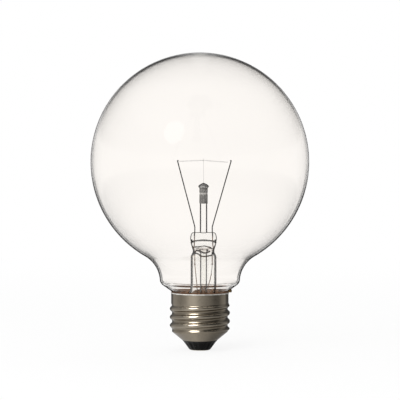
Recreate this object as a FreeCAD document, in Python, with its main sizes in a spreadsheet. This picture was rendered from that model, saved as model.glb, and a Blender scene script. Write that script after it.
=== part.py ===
import FreeCAD, Part
import Sketcher
import math
import os

# A clear globe lamp with a medium screw cap, in millimetres.
# The origin is the middle of the centre contact's flat face, +Z points up the lamp's axis to the globe.

Vector = FreeCAD.Vector

# How finely the cap's thread is lofted: sections round the axis, points along each
SHELL_SECTION_COUNT = 36
THREAD_STEP_COUNT = 42

# Shares that shape the stem's glass between its measured sections
FLARE_SHARES = (0.0, 0.2, 0.45, 0.75, 1.0)
FLARE_POWER = 3
PRESS_SWELL_SHARE = 0.4
CROWN_FULLNESS = 0.2
CROWN_DEPTH_SHARES = (0.94, 0.8)
DOME_WIDTH_SHARE = 0.88
DOME_HEIGHT_SHARE = 0.9

# Driving sizes: name, value, what it is
SIZES = [
    ("rim_height", 25.2, "top edge of the cap shell above the contact"),
    ("thread_crest_diameter", 26.2, "screw thread over its crests"),
    ("thread_depth", 1.0, "crest to root"),
    ("thread_pitch", 3.629, "seven turns to the inch"),
    ("thread_lead_in", 0.95, "first crest on the +X side above the cone"),
    ("thread_fade", 1.5, "height over which the thread dies out at each end"),
    ("skirt_inset", 0.6, "plain skirt inside the thread's crests"),
    ("skirt_length", 4.6, "plain skirt down to the thread"),
    ("cap_cone_height", 8.0, "where the thread ends and the lower cone starts"),
    ("cap_lip_diameter", 15.4, "lower lip of the cap shell"),
    ("cap_lip_height", 4.35, "height of the lower lip"),
    ("shell_wall", 0.28, "sheet thickness of the cap shell"),
    ("fit_clearance", 0.02, "gap left between parts that fit together"),
    ("insulator_land", 0.35, "insulator's flat round the contact"),
    ("insulator_base_height", 0.25, "how far the contact stands proud of the insulator"),
    ("insulator_depth", 0.7, "insulator above the top of the cap's cone"),
    ("insulator_lip_inset", 0.12, "insulator edge inside the shell's lip"),
    ("contact_diameter", 8.4, "contact plate"),
    ("contact_thickness", 0.6, "contact plate"),
    ("contact_edge_radius", 0.3, "rounded edge of the contact plate"),
    ("eyelet_diameter", 3.0, "barrel of the contact's eyelet"),
    ("eyelet_length", 4.4, "barrel above the plate"),
    ("eyelet_wall", 0.3, "wall of the barrel"),
    ("contact_ledge", 0.3, "plate that closes the barrel round its hole"),
    ("solder_recess", 0.06, "solder face above the contact's face"),
    ("solder_height", 1.4, "solder slug in the eyelet"),
    ("solder_wire_depth", 0.9, "how deep the lead sits in the slug"),
    ("cement_gap", 1.22, "cement between the skirt and the neck"),
    ("cement_depth", 4.2, "cement below the rim"),
    ("cement_inset", 0.12, "cement's top below the rim"),
    ("side_solder_length", 3.4, "side solder along the rim"),
    ("side_solder_width", 2.4, "side solder across the rim"),
    ("side_solder_height", 2.6, "side solder if it were whole"),
    ("side_solder_lift", 0.5, "middle of the side solder above the rim"),
    ("side_solder_offset", 0.25, "middle of the side solder outside the skirt"),
    ("globe_diameter", 95.0, "outside of the globe"),
    ("glass_wall", 0.7, "thickness of the blown glass"),
    ("neck_length", 4.9, "middle of the neck's hollow curve below the globe"),
    ("shoulder_width", 6.4, "neck's smallest radius outside the throat"),
    ("waist_rise", 1.3, "shoulder's start above the middle of the neck's curve"),
    ("shoulder_radius", 3.2, "rounding of the shoulder"),
    ("shoulder_angle", 55.0, "degrees between the shoulder's cone and the axis"),
    ("throat_sink", 0.49, "corner between cone and throat below the rim"),
    ("throat_fillet", 1.2, "rounding between shoulder and throat"),
    ("throat_length", 4.2, "straight neck below the shoulder's cone"),
    ("stem_offset", 1.6, "how far the stem stands to the +X side of the lamp's axis"),
    ("flare_tube_diameter", 11.2, "outside of the flare tube"),
    ("flare_wall", 0.9, "wall of the flare tube"),
    ("flare_length", 8.0, "height of the flared skirt"),
    ("flare_rim_thickness", 0.6, "rim that the neck is sealed to"),
    ("stem_tube_length", 20.0, "flare and tube from the neck's end up to the press"),
    ("press_waist_rise", 2.7, "narrowest place of the press above its start"),
    ("press_waist_inset", 0.95, "press at its waist inside the tube, each side"),
    ("press_waist_depth", 6.6, "press at its waist, front to back"),
    ("press_notch_rise", 4.2, "small crease below the press's ears above the waist"),
    ("press_notch_depth", 0.18, "how far the crease goes in"),
    ("press_ridge_rise", 1.2, "widest place of the press above the crease"),
    ("press_ear", 0.2, "press at its widest outside the tube, each side"),
    ("press_depth", 4.3, "press at its widest, front to back"),
    ("press_crown_rise", 2.7, "top of the press above its widest place"),
    ("press_crown_inset", 0.8, "press at its top inside the tube, each side"),
    ("cavity_dome_height", 2.1, "rounded end of the tube's bore in the press"),
    ("exhaust_diameter", 3.0, "pump tube"),
    ("exhaust_wall", 0.7, "wall of the pump tube"),
    ("exhaust_gap", 4.9, "pump tube's sealed tip above the insulator"),
    ("exhaust_tip_length", 2.6, "taper of the tip"),
    ("rod_diameter", 3.2, "arbor"),
    ("rod_seat_depth", 1.3, "how deep the arbor sits in the press"),
    ("rod_rise", 21.5, "top of the arbor's button above the press"),
    ("button_overhang", 0.8, "melted button outside the arbor, each side"),
    ("button_height", 2.1, "melted button"),
    ("button_round", 1.2, "rounding of the button's top and underside"),
    ("button_crown_inset", 0.74, "flat top of the button inside its widest place"),
    ("button_shoulder", 1.26, "widest place of the button below its top"),
    ("sleeve_wall", 0.205, "wall of the grey sleeve on the arbor"),
    ("sleeve_length", 6.8, "grey sleeve on the arbor"),
    ("sleeve_groove_height", 4.0, "groove above the sleeve's lower end"),
    ("sleeve_groove_width", 0.8, "groove in the sleeve"),
    ("sleeve_groove_depth", 0.1, "groove in the sleeve"),
    ("lead_wall_gap", 0.9, "between a lead's middle and the tube's bore"),
    ("lead_diameter", 0.5, "inner lead wire"),
    ("lead_seat_depth", 1.5, "how deep the inner leads sit in the press"),
    ("knee_rise", 2.4, "bend of the inner leads above the press"),
    ("tip_spread", 23.4, "between the tips of the inner leads"),
    ("tip_lift", 0.25, "tips of the inner leads above the filament's middle"),
    ("hook_reach", 0.9, "hook at a lead's tip, inwards"),
    ("hook_drop", 0.55, "hook at a lead's tip, downwards"),
    ("hook_crown_reach", 0.36, "top of the hook inwards of the tip"),
    ("hook_crown_lift", 0.275, "top of the hook above the tip"),
    ("seal_wire_diameter", 0.4, "wire sealed in the press"),
    ("weld_drop", 2.6, "weld bead below the press"),
    ("weld_bead_diameter", 0.76, "weld bead"),
    ("fuse_diameter", 0.24, "fuse link"),
    ("fuse_length", 4.1, "fuse link"),
    ("outer_lead_diameter", 0.36, "outer lead wire"),
    ("lead_drift", 0.75, "how far the leads lean inwards below the beads"),
    ("gather_rise", 6.9, "outer leads come in beside the pump tube this far above the neck's end"),
    ("gather_gap", 0.25, "between an outer lead and the pump tube"),
    ("side_lead_drop", 3.7, "lowest run of the lead to the rim below the flare"),
    ("side_lead_bend", 1.6, "lead's corner below the rim, across and up"),
    ("side_lead_reach", 2.2, "lead's corner below the flare, outwards"),
    ("side_lead_dip", 1.2, "lead's corner below the flare, downwards"),
    ("filament_diameter", 0.56, "outside of the filament's coil"),
    ("filament_gap", 0.28, "filament's end from the lead's hook"),
    ("support_diameter", 0.28, "support wire"),
    ("support_length", 9.2, "support wire between the button and its loop"),
    ("support_seat_depth", 1.2, "support wire in the button"),
    ("loop_diameter", 1.3, "middle of the support's loop"),
]

# Sizes that follow from the driving ones: name, formula, what it is
DERIVED = [
    ("skirt_diameter", "thread_crest_diameter - 2 * skirt_inset", "plain skirt of the cap shell"),
    ("shell_inner_radius", "skirt_diameter / 2 - shell_wall", "inside of the skirt"),
    ("root_radius", "thread_crest_diameter / 2 - thread_depth", "thread's root"),
    ("root_inner_radius", "root_radius - shell_wall", "inside of the thread's root"),
    ("thread_crest_height", "cap_cone_height + thread_lead_in", "height of a crest on the +X side"),
    ("lip_inner_radius", "cap_lip_diameter / 2 - shell_wall", "inside of the lip"),
    ("globe_radius", "globe_diameter / 2", "globe"),
    ("throat_radius", "shell_inner_radius - cement_gap", "outside of the neck inside the cap"),
    ("neck_radius", "throat_radius + shoulder_width", "smallest outside radius of the neck's curve"),
    ("blend_drop", "globe_radius + neck_length", "neck's curve below the globe's middle"),
    ("neck_blend_radius",
     "(blend_drop ^ 2 + neck_radius ^ 2 - globe_radius ^ 2) / (2 * (globe_radius - neck_radius))",
     "hollow curve that touches the globe"),
    ("waist_radius", "neck_radius + neck_blend_radius - sqrt(neck_blend_radius ^ 2 - waist_rise ^ 2)",
     "waist"),
    ("cone_top_radius", "waist_radius - shoulder_radius * (1 - cos(shoulder_angle))", "shoulder's cone"),
    ("throat_height", "rim_height - throat_sink", "corner between cone and throat"),
    ("cone_top_height", "throat_height + (cone_top_radius - throat_radius) / tan(shoulder_angle)",
     "shoulder's cone"),
    ("waist_height", "cone_top_height + shoulder_radius * sin(shoulder_angle)",
     "where neck and shoulder meet"),
    ("globe_center_height", "waist_height - waist_rise + blend_drop", "middle of the globe"),
    ("globe_top", "globe_center_height + globe_radius", "top of the lamp"),
    ("blend_reach", "globe_radius + neck_blend_radius", "between the two curves' middles"),
    ("join_radius", "globe_radius * (neck_radius + neck_blend_radius) / blend_reach",
     "where globe and neck join"),
    ("join_height", "globe_center_height - globe_radius * blend_drop / blend_reach",
     "where globe and neck join"),
    ("throat_run", "throat_fillet * tan(shoulder_angle / 2)", "fillet's reach from the corner"),
    ("throat_cone_radius", "throat_radius + throat_run * sin(shoulder_angle)", "fillet's upper end"),
    ("throat_cone_height", "throat_height + throat_run * cos(shoulder_angle)", "fillet's upper end"),
    ("throat_straight_height", "throat_height - throat_run", "fillet's lower end"),
    ("neck_end_height", "throat_height - throat_length", "lower end of the blown glass"),
    ("globe_bore_radius", "globe_radius - glass_wall", "inside of the globe"),
    ("globe_bore_top", "globe_top - glass_wall", "inside of the globe"),
    ("join_bore_radius", "join_radius * globe_bore_radius / globe_radius",
     "inside, where globe and neck join"),
    ("join_bore_height", "globe_center_height - globe_bore_radius * blend_drop / blend_reach",
     "inside, where globe and neck join"),
    ("neck_bore_arc", "neck_blend_radius + glass_wall", "inside of the neck's curve"),
    ("waist_bore_radius", "waist_radius - glass_wall", "inside of the waist"),
    ("shoulder_bore_arc", "shoulder_radius - glass_wall", "inside of the shoulder"),
    ("cone_top_bore_radius", "cone_top_radius - glass_wall * cos(shoulder_angle)", "inside of the cone"),
    ("cone_top_bore_height", "cone_top_height + glass_wall * sin(shoulder_angle)", "inside of the cone"),
    ("throat_cone_bore_radius", "throat_cone_radius - glass_wall * cos(shoulder_angle)",
     "inside of the fillet"),
    ("throat_cone_bore_height", "throat_cone_height + glass_wall * sin(shoulder_angle)",
     "inside of the fillet"),
    ("throat_bore_radius", "throat_radius - glass_wall", "inside of the throat"),
    ("throat_bore_arc", "throat_fillet + glass_wall", "inside of the fillet"),
    ("insulator_base_radius", "contact_diameter / 2 + insulator_land", "insulator"),
    ("insulator_edge_radius", "cap_lip_diameter / 2 - insulator_lip_inset", "insulator below the lip"),
    ("insulator_lip_radius", "lip_inner_radius - fit_clearance", "insulator inside the lip"),
    ("insulator_top_radius", "root_inner_radius - fit_clearance", "insulator inside the shell"),
    ("insulator_top_height", "cap_cone_height + insulator_depth", "top of the insulator"),
    ("eyelet_hole_radius", "eyelet_diameter / 2 + fit_clearance", "hole for the eyelet"),
    ("contact_seat_radius", "contact_diameter / 2 + fit_clearance", "seat of the contact"),
    ("contact_radius", "contact_diameter / 2", "contact plate"),
    ("contact_flat_radius", "contact_radius - contact_edge_radius", "flat of the contact"),
    ("eyelet_radius", "eyelet_diameter / 2", "eyelet"),
    ("eyelet_bore_radius", "eyelet_radius - eyelet_wall", "eyelet's bore"),
    ("eyelet_top_height", "contact_thickness + eyelet_length", "top of the eyelet"),
    ("contact_hole_radius", "eyelet_bore_radius - contact_ledge", "hole in the plate"),
    ("solder_neck_radius", "contact_hole_radius - fit_clearance", "solder in the plate's hole"),
    ("solder_radius", "eyelet_bore_radius - fit_clearance", "solder in the barrel"),
    ("solder_floor_height", "contact_thickness + fit_clearance", "solder on the plate"),
    ("solder_top_height", "solder_recess + solder_height", "top of the solder"),
    ("solder_seat_radius", "outer_lead_diameter / 2 + fit_clearance", "lead's seat in the solder"),
    ("solder_seat_height", "solder_top_height - solder_wire_depth", "lead's seat in the solder"),
    ("cement_bottom_height", "rim_height - cement_depth", "cement"),
    ("cement_top_height", "rim_height - cement_inset", "cement"),
    ("cement_inner_radius", "throat_radius + fit_clearance", "cement on the throat"),
    ("cement_outer_radius", "shell_inner_radius - fit_clearance", "cement in the skirt"),
    ("cement_crown_radius",
     "cement_inner_radius + (cement_top_height - throat_straight_height) * tan(shoulder_angle / 2)",
     "cement's top edge at the glass"),
    ("press_start_height", "neck_end_height + stem_tube_length", "where the tube starts to flatten"),
    ("press_waist_height", "press_start_height + press_waist_rise", "narrowest place of the press"),
    ("press_notch_height", "press_waist_height + press_notch_rise", "crease of the press"),
    ("press_ridge_height", "press_notch_height + press_ridge_rise", "widest place of the press"),
    ("press_top_height", "press_ridge_height + press_crown_rise", "top of the press"),
    ("exhaust_radius", "exhaust_diameter / 2", "pump tube"),
    ("exhaust_bore_radius", "exhaust_radius - exhaust_wall", "pump tube"),
    ("cavity_top_height", "press_start_height + cavity_dome_height", "end of the flare tube's bore"),
    ("exhaust_tip_height", "insulator_top_height + exhaust_gap", "sealed tip of the pump tube"),
    ("exhaust_taper_height", "exhaust_tip_height + exhaust_tip_length", "taper of the pump tube's tip"),
    ("exhaust_bore_end", "exhaust_taper_height - exhaust_wall", "bore of the pump tube"),
    ("exhaust_nose_radius", "exhaust_wall / 2", "blunt end of the tip"),
    ("rod_radius", "rod_diameter / 2", "arbor"),
    ("rod_seat_height", "press_top_height - rod_seat_depth", "arbor's foot"),
    ("button_top_height", "press_top_height + rod_rise", "top of the button"),
    ("button_bottom_height", "button_top_height - button_height", "button"),
    ("button_radius", "rod_radius + button_overhang", "button"),
    ("button_shelf_radius", "rod_radius + button_overhang / 2", "button's underside"),
    ("button_middle_height", "button_top_height - button_shoulder", "widest place of the button"),
    ("button_crown_radius", "button_radius - button_crown_inset", "flat top of the button"),
    ("support_seat_radius", "support_diameter / 2 + fit_clearance", "hole for the support"),
    ("support_seat_height", "button_top_height - support_seat_depth", "hole for the support"),
    ("sleeve_bore_radius", "rod_radius + fit_clearance", "sleeve"),
    ("sleeve_radius", "sleeve_bore_radius + sleeve_wall", "sleeve"),
    ("sleeve_top_height", "button_bottom_height - fit_clearance", "sleeve"),
    ("sleeve_bottom_height", "sleeve_top_height - sleeve_length", "sleeve"),
    ("sleeve_groove_radius", "sleeve_radius - sleeve_groove_depth", "groove"),
    ("sleeve_groove_bottom", "sleeve_bottom_height + sleeve_groove_height", "groove"),
    ("sleeve_groove_top", "sleeve_groove_bottom + sleeve_groove_width", "groove"),
    ("lead_x", "flare_tube_diameter / 2 - flare_wall - lead_wall_gap", "lead in the press"),
    ("lead_seat_height", "press_top_height - lead_seat_depth", "foot of the inner lead"),
    ("seal_wire_top", "lead_seat_height - fit_clearance", "top of the sealed wire"),
    ("loop_radius", "loop_diameter / 2", "support's loop"),
    ("support_top_height", "button_top_height + support_length", "foot of the loop"),
    ("filament_middle_height", "support_top_height + loop_radius", "filament at the support"),
    ("knee_height", "press_top_height + knee_rise", "where the inner leads bend outwards"),
    ("tip_height", "filament_middle_height + tip_lift", "tips of the inner leads"),
    ("tip_x", "tip_spread / 2", "lead's tip"),
    ("hook_x", "tip_x - hook_reach", "end of the hook"),
    ("hook_height", "tip_height - hook_drop", "end of the hook"),
    ("hook_crown_x", "tip_x - hook_crown_reach", "top of the hook"),
    ("hook_crown_height", "tip_height + hook_crown_lift", "top of the hook"),
    ("filament_x", "hook_x - filament_gap", "end of the filament"),
    ("filament_end_height", "hook_height - filament_gap / 2", "end of the filament"),
    ("weld_height", "press_start_height - weld_drop", "weld bead"),
    ("bead_radius", "weld_bead_diameter / 2", "weld bead"),
    ("lead_start_height", "weld_height - bead_radius - fit_clearance", "wire below a bead"),
    ("fuse_end_height", "lead_start_height - fuse_length", "lower end of the fuse"),
    ("fuse_x", "lead_x - lead_drift / 2", "lower end of the fuse"),
    ("fused_lead_height", "fuse_end_height - fit_clearance", "top of the lead below the fuse"),
    ("lead_gather_height", "neck_end_height + gather_rise", "outer leads beside the pump tube"),
    ("gather_x", "exhaust_radius + outer_lead_diameter / 2 + gather_gap", "outer leads beside the pump tube"),
    ("contact_x", "stem_offset", "lamp's axis seen from the stem's axis"),
    ("contact_lead_bend", "exhaust_tip_height - 3 * outer_lead_diameter", "lead turns below the pump tube"),
    ("contact_lead_low", "eyelet_top_height + 3 * outer_lead_diameter", "lead enters the eyelet"),
    ("contact_lead_end", "solder_seat_height + fit_clearance", "lead's end in the solder"),
    ("side_lead_radius", "(throat_radius + root_inner_radius) / 2", "lead between neck and shell"),
    ("side_lead_x", "side_lead_radius - stem_offset", "lead between neck and shell"),
    ("glass_rim_radius", "throat_radius + throat_sink * tan(shoulder_angle)",
     "shoulder's cone at the height of the rim"),
    ("side_lead_end_x", "(glass_rim_radius + shell_inner_radius) / 2 - stem_offset", "lead at the rim"),
    ("flare_rim_height", "neck_end_height - flare_rim_thickness", "underside of the flare's rim"),
    ("side_lead_low_height", "flare_rim_height - side_lead_drop", "lowest run of the lead to the rim"),
    ("side_lead_turn_x", "side_lead_x - side_lead_bend", "lead's corner below the rim"),
    ("side_lead_turn_height", "side_lead_low_height + side_lead_bend", "lead's corner below the rim"),
    ("side_lead_dip_x", "gather_x + side_lead_reach", "lead's corner below the flare"),
    ("side_lead_dip_height", "flare_rim_height - side_lead_dip", "lead's corner below the flare"),
    ("side_lead_top", "rim_height - outer_lead_diameter / 2", "lead's end under the side solder"),
]


def add_sheet(doc):
    """Adds the spreadsheet that every other object takes its sizes from."""
    sheet = doc.addObject("Spreadsheet::Sheet", "Sizes")
    rows = [(name, str(value), note) for name, value, note in SIZES]
    rows += [(name, "=" + formula, note) for name, formula, note in DERIVED]
    for row, (name, content, note) in enumerate(rows, start=1):
        sheet.set("A%d" % row, note)
        sheet.set("B%d" % row, content)
        sheet.setAlias("B%d" % row, name)
    doc.recompute()
    return sheet


doc = FreeCAD.newDocument("GlobeLamp")
sheet = add_sheet(doc)


def size(name):
    """Returns the number that a cell of the sheet holds."""
    return float(sheet.get(name))


def signed(name):
    """Splits a size's name into its sign and its cell; "0" is the origin."""
    if name.startswith("-"):
        return -1.0, name[1:]
    return 1.0, name


def number(name):
    """Returns a corner's coordinate, where "0" is the origin."""
    sign, cell = signed(name)
    return 0.0 if cell == "0" else sign * size(cell)


def bound(name):
    """Returns the expression that ties a coordinate to its cell."""
    sign, cell = signed(name)
    return ("-" if sign < 0 else "") + "Sizes." + cell


def add_body(label, on_stem=False):
    """Adds a body; one that belongs to the stem stands at the stem's offset."""
    body = doc.addObject("PartDesign::Body", label)
    body.Label = label
    if on_stem:
        body.setExpression("Placement.Base.x", "Sizes.stem_offset")
    return body


def add_sketch(body, name, role):
    """Adds a sketch on one of the body's own origin planes."""
    sketch = body.newObject("Sketcher::SketchObject", name)
    plane = [feature for feature in body.Origin.OriginFeatures if feature.Role == role][0]
    sketch.AttachmentSupport = [(plane, "")]
    sketch.MapMode = "FlatFace"
    return sketch


def arc_between(start, end, radius, side):
    """Returns the shorter arc between two points; its middle is left (1) or right (-1) of the way."""
    way = end - start
    left = Vector(-way.y, way.x, 0).normalize()
    rise = math.sqrt(max(radius ** 2 - (way.Length / 2) ** 2, 0.0))
    middle = (start + end) / 2 + left * (side * rise)
    first, last = (start, end) if side > 0 else (end, start)
    first_angle = math.atan2(first.y - middle.y, first.x - middle.x)
    last_angle = math.atan2(last.y - middle.y, last.x - middle.x)
    if last_angle < first_angle:
        last_angle += 2 * math.pi
    return Part.ArcOfCircle(Part.Circle(middle, Vector(0, 0, 1), radius), first_angle, last_angle)


def bind_last(sketch, index, expression):
    """Ties the constraint with this number to a cell."""
    sketch.setExpression("Constraints[%d]" % index, expression)


def place_point(sketch, edge, point, corner):
    """Fixes one point of an edge at a pair of sheet names."""
    kinds = (("DistanceX", -2), ("DistanceY", -1))
    for (kind, axis), name in zip(kinds, corner):
        if name == "0":
            sketch.addConstraint(Sketcher.Constraint("PointOnObject", edge, point, axis))
        else:
            index = sketch.addConstraint(Sketcher.Constraint(kind, -1, 1, edge, point, number(name)))
            bind_last(sketch, index, bound(name))


def draw_outline(sketch, corners, arcs=None, closed=True):
    """Draws lines and arcs through corners, each a pair of sheet names.

    arcs gives an edge's number its radius and the side of its middle.
    """
    arcs = arcs or {}
    points = [Vector(number(across), number(up), 0) for across, up in corners]
    count = len(points) if closed else len(points) - 1
    ends = []
    for edge in range(count):
        start, end = points[edge], points[(edge + 1) % len(points)]
        if edge in arcs:
            radius, side = arcs[edge]
            sketch.addGeometry(arc_between(start, end, size(radius), side), False)
            ends.append((1, 2) if side > 0 else (2, 1))
        else:
            sketch.addGeometry(Part.LineSegment(start, end), False)
            ends.append((1, 2))
    joins = range(count) if closed else range(count - 1)
    for edge in joins:
        following = (edge + 1) % count
        sketch.addConstraint(
            Sketcher.Constraint("Coincident", edge, ends[edge][1], following, ends[following][0]))
    for edge in range(count):
        place_point(sketch, edge, ends[edge][0], corners[edge])
    if not closed:
        place_point(sketch, count - 1, ends[-1][1], corners[-1])
    for edge, (radius, _) in arcs.items():
        index = sketch.addConstraint(Sketcher.Constraint("Radius", edge, size(radius)))
        bind_last(sketch, index, "Sizes." + radius)


def add_turned(label, corners, arcs=None, on_stem=False):
    """Adds a body turned about its own vertical axis from a closed outline."""
    body = add_body(label, on_stem)
    sketch = add_sketch(body, label + "_outline", "XZ_Plane")
    draw_outline(sketch, corners, arcs)
    turned = body.newObject("PartDesign::Revolution", label + "_turned")
    turned.Profile = sketch
    turned.ReferenceAxis = (sketch, ["V_Axis"])
    turned.Angle = 360.0
    sketch.Visibility = False
    doc.recompute()
    return body


def add_wire(label, diameter, corners, role="XZ_Plane"):
    """Adds a round wire of the stem along a route of corners."""
    body = add_body(label, on_stem=True)
    route = add_sketch(body, label + "_route", role)
    draw_outline(route, corners, closed=False)
    doc.recompute()
    section = body.newObject("Sketcher::SketchObject", label + "_section")
    section.AttachmentSupport = [(route, "Edge1")]
    section.MapMode = "NormalToEdge"
    section.MapPathParameter = 0.0
    section.addGeometry(Part.Circle(Vector(0, 0, 0), Vector(0, 0, 1), size(diameter) / 2), False)
    section.addConstraint(Sketcher.Constraint("Coincident", 0, 3, -1, 1))
    index = section.addConstraint(Sketcher.Constraint("Diameter", 0, size(diameter)))
    bind_last(section, index, "Sizes." + diameter)
    doc.recompute()
    pipe = body.newObject("PartDesign::AdditivePipe", label + "_pipe")
    pipe.Profile = section
    pipe.Spine = (route, ["Edge%d" % (edge + 1) for edge in range(len(corners) - 1)])
    pipe.Transition = "Right corner"
    doc.recompute()
    return body


def add_ball(body, diameter, across, height):
    """Adds a ball to a wire's body, such as a weld bead."""
    ball = body.newObject("PartDesign::AdditiveSphere", body.Label + "_bead")
    ball.setExpression("Radius", "Sizes.%s / 2" % diameter)
    ball.setExpression("Placement.Base.x", bound(across))
    ball.setExpression("Placement.Base.z", bound(height))
    doc.recompute()


def add_glass_globe():
    """Blown envelope: globe, hollow neck curve, rounded shoulder, cone and straight throat, walled evenly."""
    outside = [
        ("0", "globe_top"), ("join_radius", "join_height"), ("waist_radius", "waist_height"),
        ("cone_top_radius", "cone_top_height"), ("throat_cone_radius", "throat_cone_height"),
        ("throat_radius", "throat_straight_height"), ("throat_radius", "neck_end_height")]
    inside = [
        ("throat_bore_radius", "neck_end_height"), ("throat_bore_radius", "throat_straight_height"),
        ("throat_cone_bore_radius", "throat_cone_bore_height"),
        ("cone_top_bore_radius", "cone_top_bore_height"), ("waist_bore_radius", "waist_height"),
        ("join_bore_radius", "join_bore_height"), ("0", "globe_bore_top")]
    add_turned("glass_globe", outside + inside, {
        0: ("globe_radius", -1), 1: ("neck_blend_radius", 1), 2: ("shoulder_radius", -1),
        4: ("throat_fillet", 1), 8: ("throat_bore_arc", -1), 10: ("shoulder_bore_arc", 1),
        11: ("neck_bore_arc", -1), 12: ("globe_bore_radius", 1)})


def thread_rise(from_crest):
    """Height of the round thread above its root, at a distance along the axis from the nearest crest."""
    quarter = size("thread_pitch") / 4
    depth = size("thread_depth")
    round_radius = (quarter ** 2 + (depth / 2) ** 2) / depth
    if abs(from_crest) <= quarter:
        return depth - round_radius + math.sqrt(round_radius ** 2 - from_crest ** 2)
    from_root = 2 * quarter - abs(from_crest)
    return round_radius - math.sqrt(round_radius ** 2 - from_root ** 2)


def ease(share):
    """Smooth step from 0 to 1."""
    share = min(max(share, 0.0), 1.0)
    return share * share * (3 - 2 * share)


def thread_radius(turn, height):
    """Outside radius of the shell's threaded stretch at a turn (0 to 1 about the axis) and a height."""
    pitch = size("thread_pitch")
    top = size("rim_height") - size("skirt_length")
    fade = size("thread_fade")
    from_crest = (height - size("thread_crest_height") - pitch * turn + pitch / 2) % pitch - pitch / 2
    top_share = ease((top - height) / fade)
    foot_share = ease((height - size("cap_cone_height")) / fade)
    base = size("skirt_diameter") / 2 + (size("root_radius") - size("skirt_diameter") / 2) * top_share
    return base + thread_rise(from_crest) * top_share * foot_share


def shell_section(turn):
    """Closed wire of the shell's wall in the half plane at a turn: skirt, thread, cone and lip."""
    steps = THREAD_STEP_COUNT
    angle = 2 * math.pi * turn
    wall = size("shell_wall")
    top = size("rim_height") - size("skirt_length")
    foot = size("cap_cone_height")
    heights = [top + (foot - top) * step / steps for step in range(steps + 1)]
    shares = [step / steps for step in range(steps + 1)]

    def at(radius, height):
        return Vector(radius * math.cos(angle), radius * math.sin(angle), height)

    def side(inset):
        thread = Part.BSplineCurve()
        points = [at(thread_radius(turn, height) - inset, height) for height in heights]
        thread.interpolate(Points=points, Parameters=shares)
        rim = at(size("skirt_diameter") / 2 - inset, size("rim_height"))
        lip = at(size("cap_lip_diameter") / 2 - inset, size("cap_lip_height"))
        return rim, lip, [Part.LineSegment(rim, points[0]).toShape(), thread.toShape(),
                          Part.LineSegment(points[-1], lip).toShape()]

    outer_rim, outer_lip, outer = side(0.0)
    inner_rim, inner_lip, inner = side(wall)
    lip_edge = Part.LineSegment(outer_lip, inner_lip).toShape()
    rim_edge = Part.LineSegment(inner_rim, outer_rim).toShape()
    return Part.Wire(outer + [lip_edge] + inner[::-1] + [rim_edge])


def add_cap_shell():
    """Rolled screw shell: one loft of the wall's section round the axis; its thread climbs on the way."""
    shell = doc.addObject("Part::Feature", "cap_shell")
    shell.Label = "cap_shell"
    wires = [shell_section(section / SHELL_SECTION_COUNT) for section in range(SHELL_SECTION_COUNT)]
    shell.Shape = Part.makeLoft(wires, True, False, True)


def add_cap_insulator():
    """Black glass insulator: a cone below the shell's lip and a plug that fills the shell's cone."""
    add_turned(
        "cap_insulator",
        [("insulator_base_radius", "insulator_base_height"), ("insulator_edge_radius", "cap_lip_height"),
         ("insulator_lip_radius", "cap_lip_height"), ("insulator_top_radius", "cap_cone_height"),
         ("insulator_top_radius", "insulator_top_height"), ("eyelet_hole_radius", "insulator_top_height"),
         ("eyelet_hole_radius", "contact_thickness"), ("contact_seat_radius", "contact_thickness"),
         ("contact_seat_radius", "insulator_base_height")])


def add_centre_contact():
    """Contact plate with a rounded edge and an eyelet barrel that grips the insulator's hole."""
    add_turned(
        "centre_contact",
        [("contact_hole_radius", "0"), ("contact_flat_radius", "0"),
         ("contact_radius", "contact_edge_radius"),
         ("contact_radius", "contact_thickness"), ("eyelet_radius", "contact_thickness"),
         ("eyelet_radius", "eyelet_top_height"), ("eyelet_bore_radius", "eyelet_top_height"),
         ("eyelet_bore_radius", "contact_thickness"), ("contact_hole_radius", "contact_thickness")],
        {1: ("contact_edge_radius", 1)})


def add_centre_solder():
    """Solder slug in the eyelet, with the seat of the lead that it holds."""
    add_turned(
        "centre_solder",
        [("0", "solder_recess"), ("solder_neck_radius", "solder_recess"),
         ("solder_neck_radius", "solder_floor_height"), ("solder_radius", "solder_floor_height"),
         ("solder_radius", "solder_top_height"), ("solder_seat_radius", "solder_top_height"),
         ("solder_seat_radius", "solder_seat_height"), ("0", "solder_seat_height")])


def add_basing_cement():
    """Cement ring between the glass throat and the skirt, with the slot that the side lead goes through."""
    ring = add_turned(
        "cement_ring",
        [("cement_inner_radius", "cement_bottom_height"), ("cement_outer_radius", "cement_bottom_height"),
         ("cement_outer_radius", "cement_top_height"), ("cement_crown_radius", "cement_top_height"),
         ("cement_inner_radius", "throat_straight_height")])
    slot = doc.addObject("Part::Box", "cement_lead_slot")
    slot.setExpression("Length", "Sizes.skirt_diameter / 2")
    slot.setExpression("Width", "Sizes.outer_lead_diameter + 2 * Sizes.fit_clearance")
    slot.setExpression("Height", "Sizes.rim_height")
    slot.setExpression("Placement.Base.y", "-Sizes.outer_lead_diameter / 2 - Sizes.fit_clearance")
    cement = doc.addObject("Part::Cut", "basing_cement")
    cement.Label = "basing_cement"
    cement.Base = ring
    cement.Tool = slot
    doc.recompute()


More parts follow.
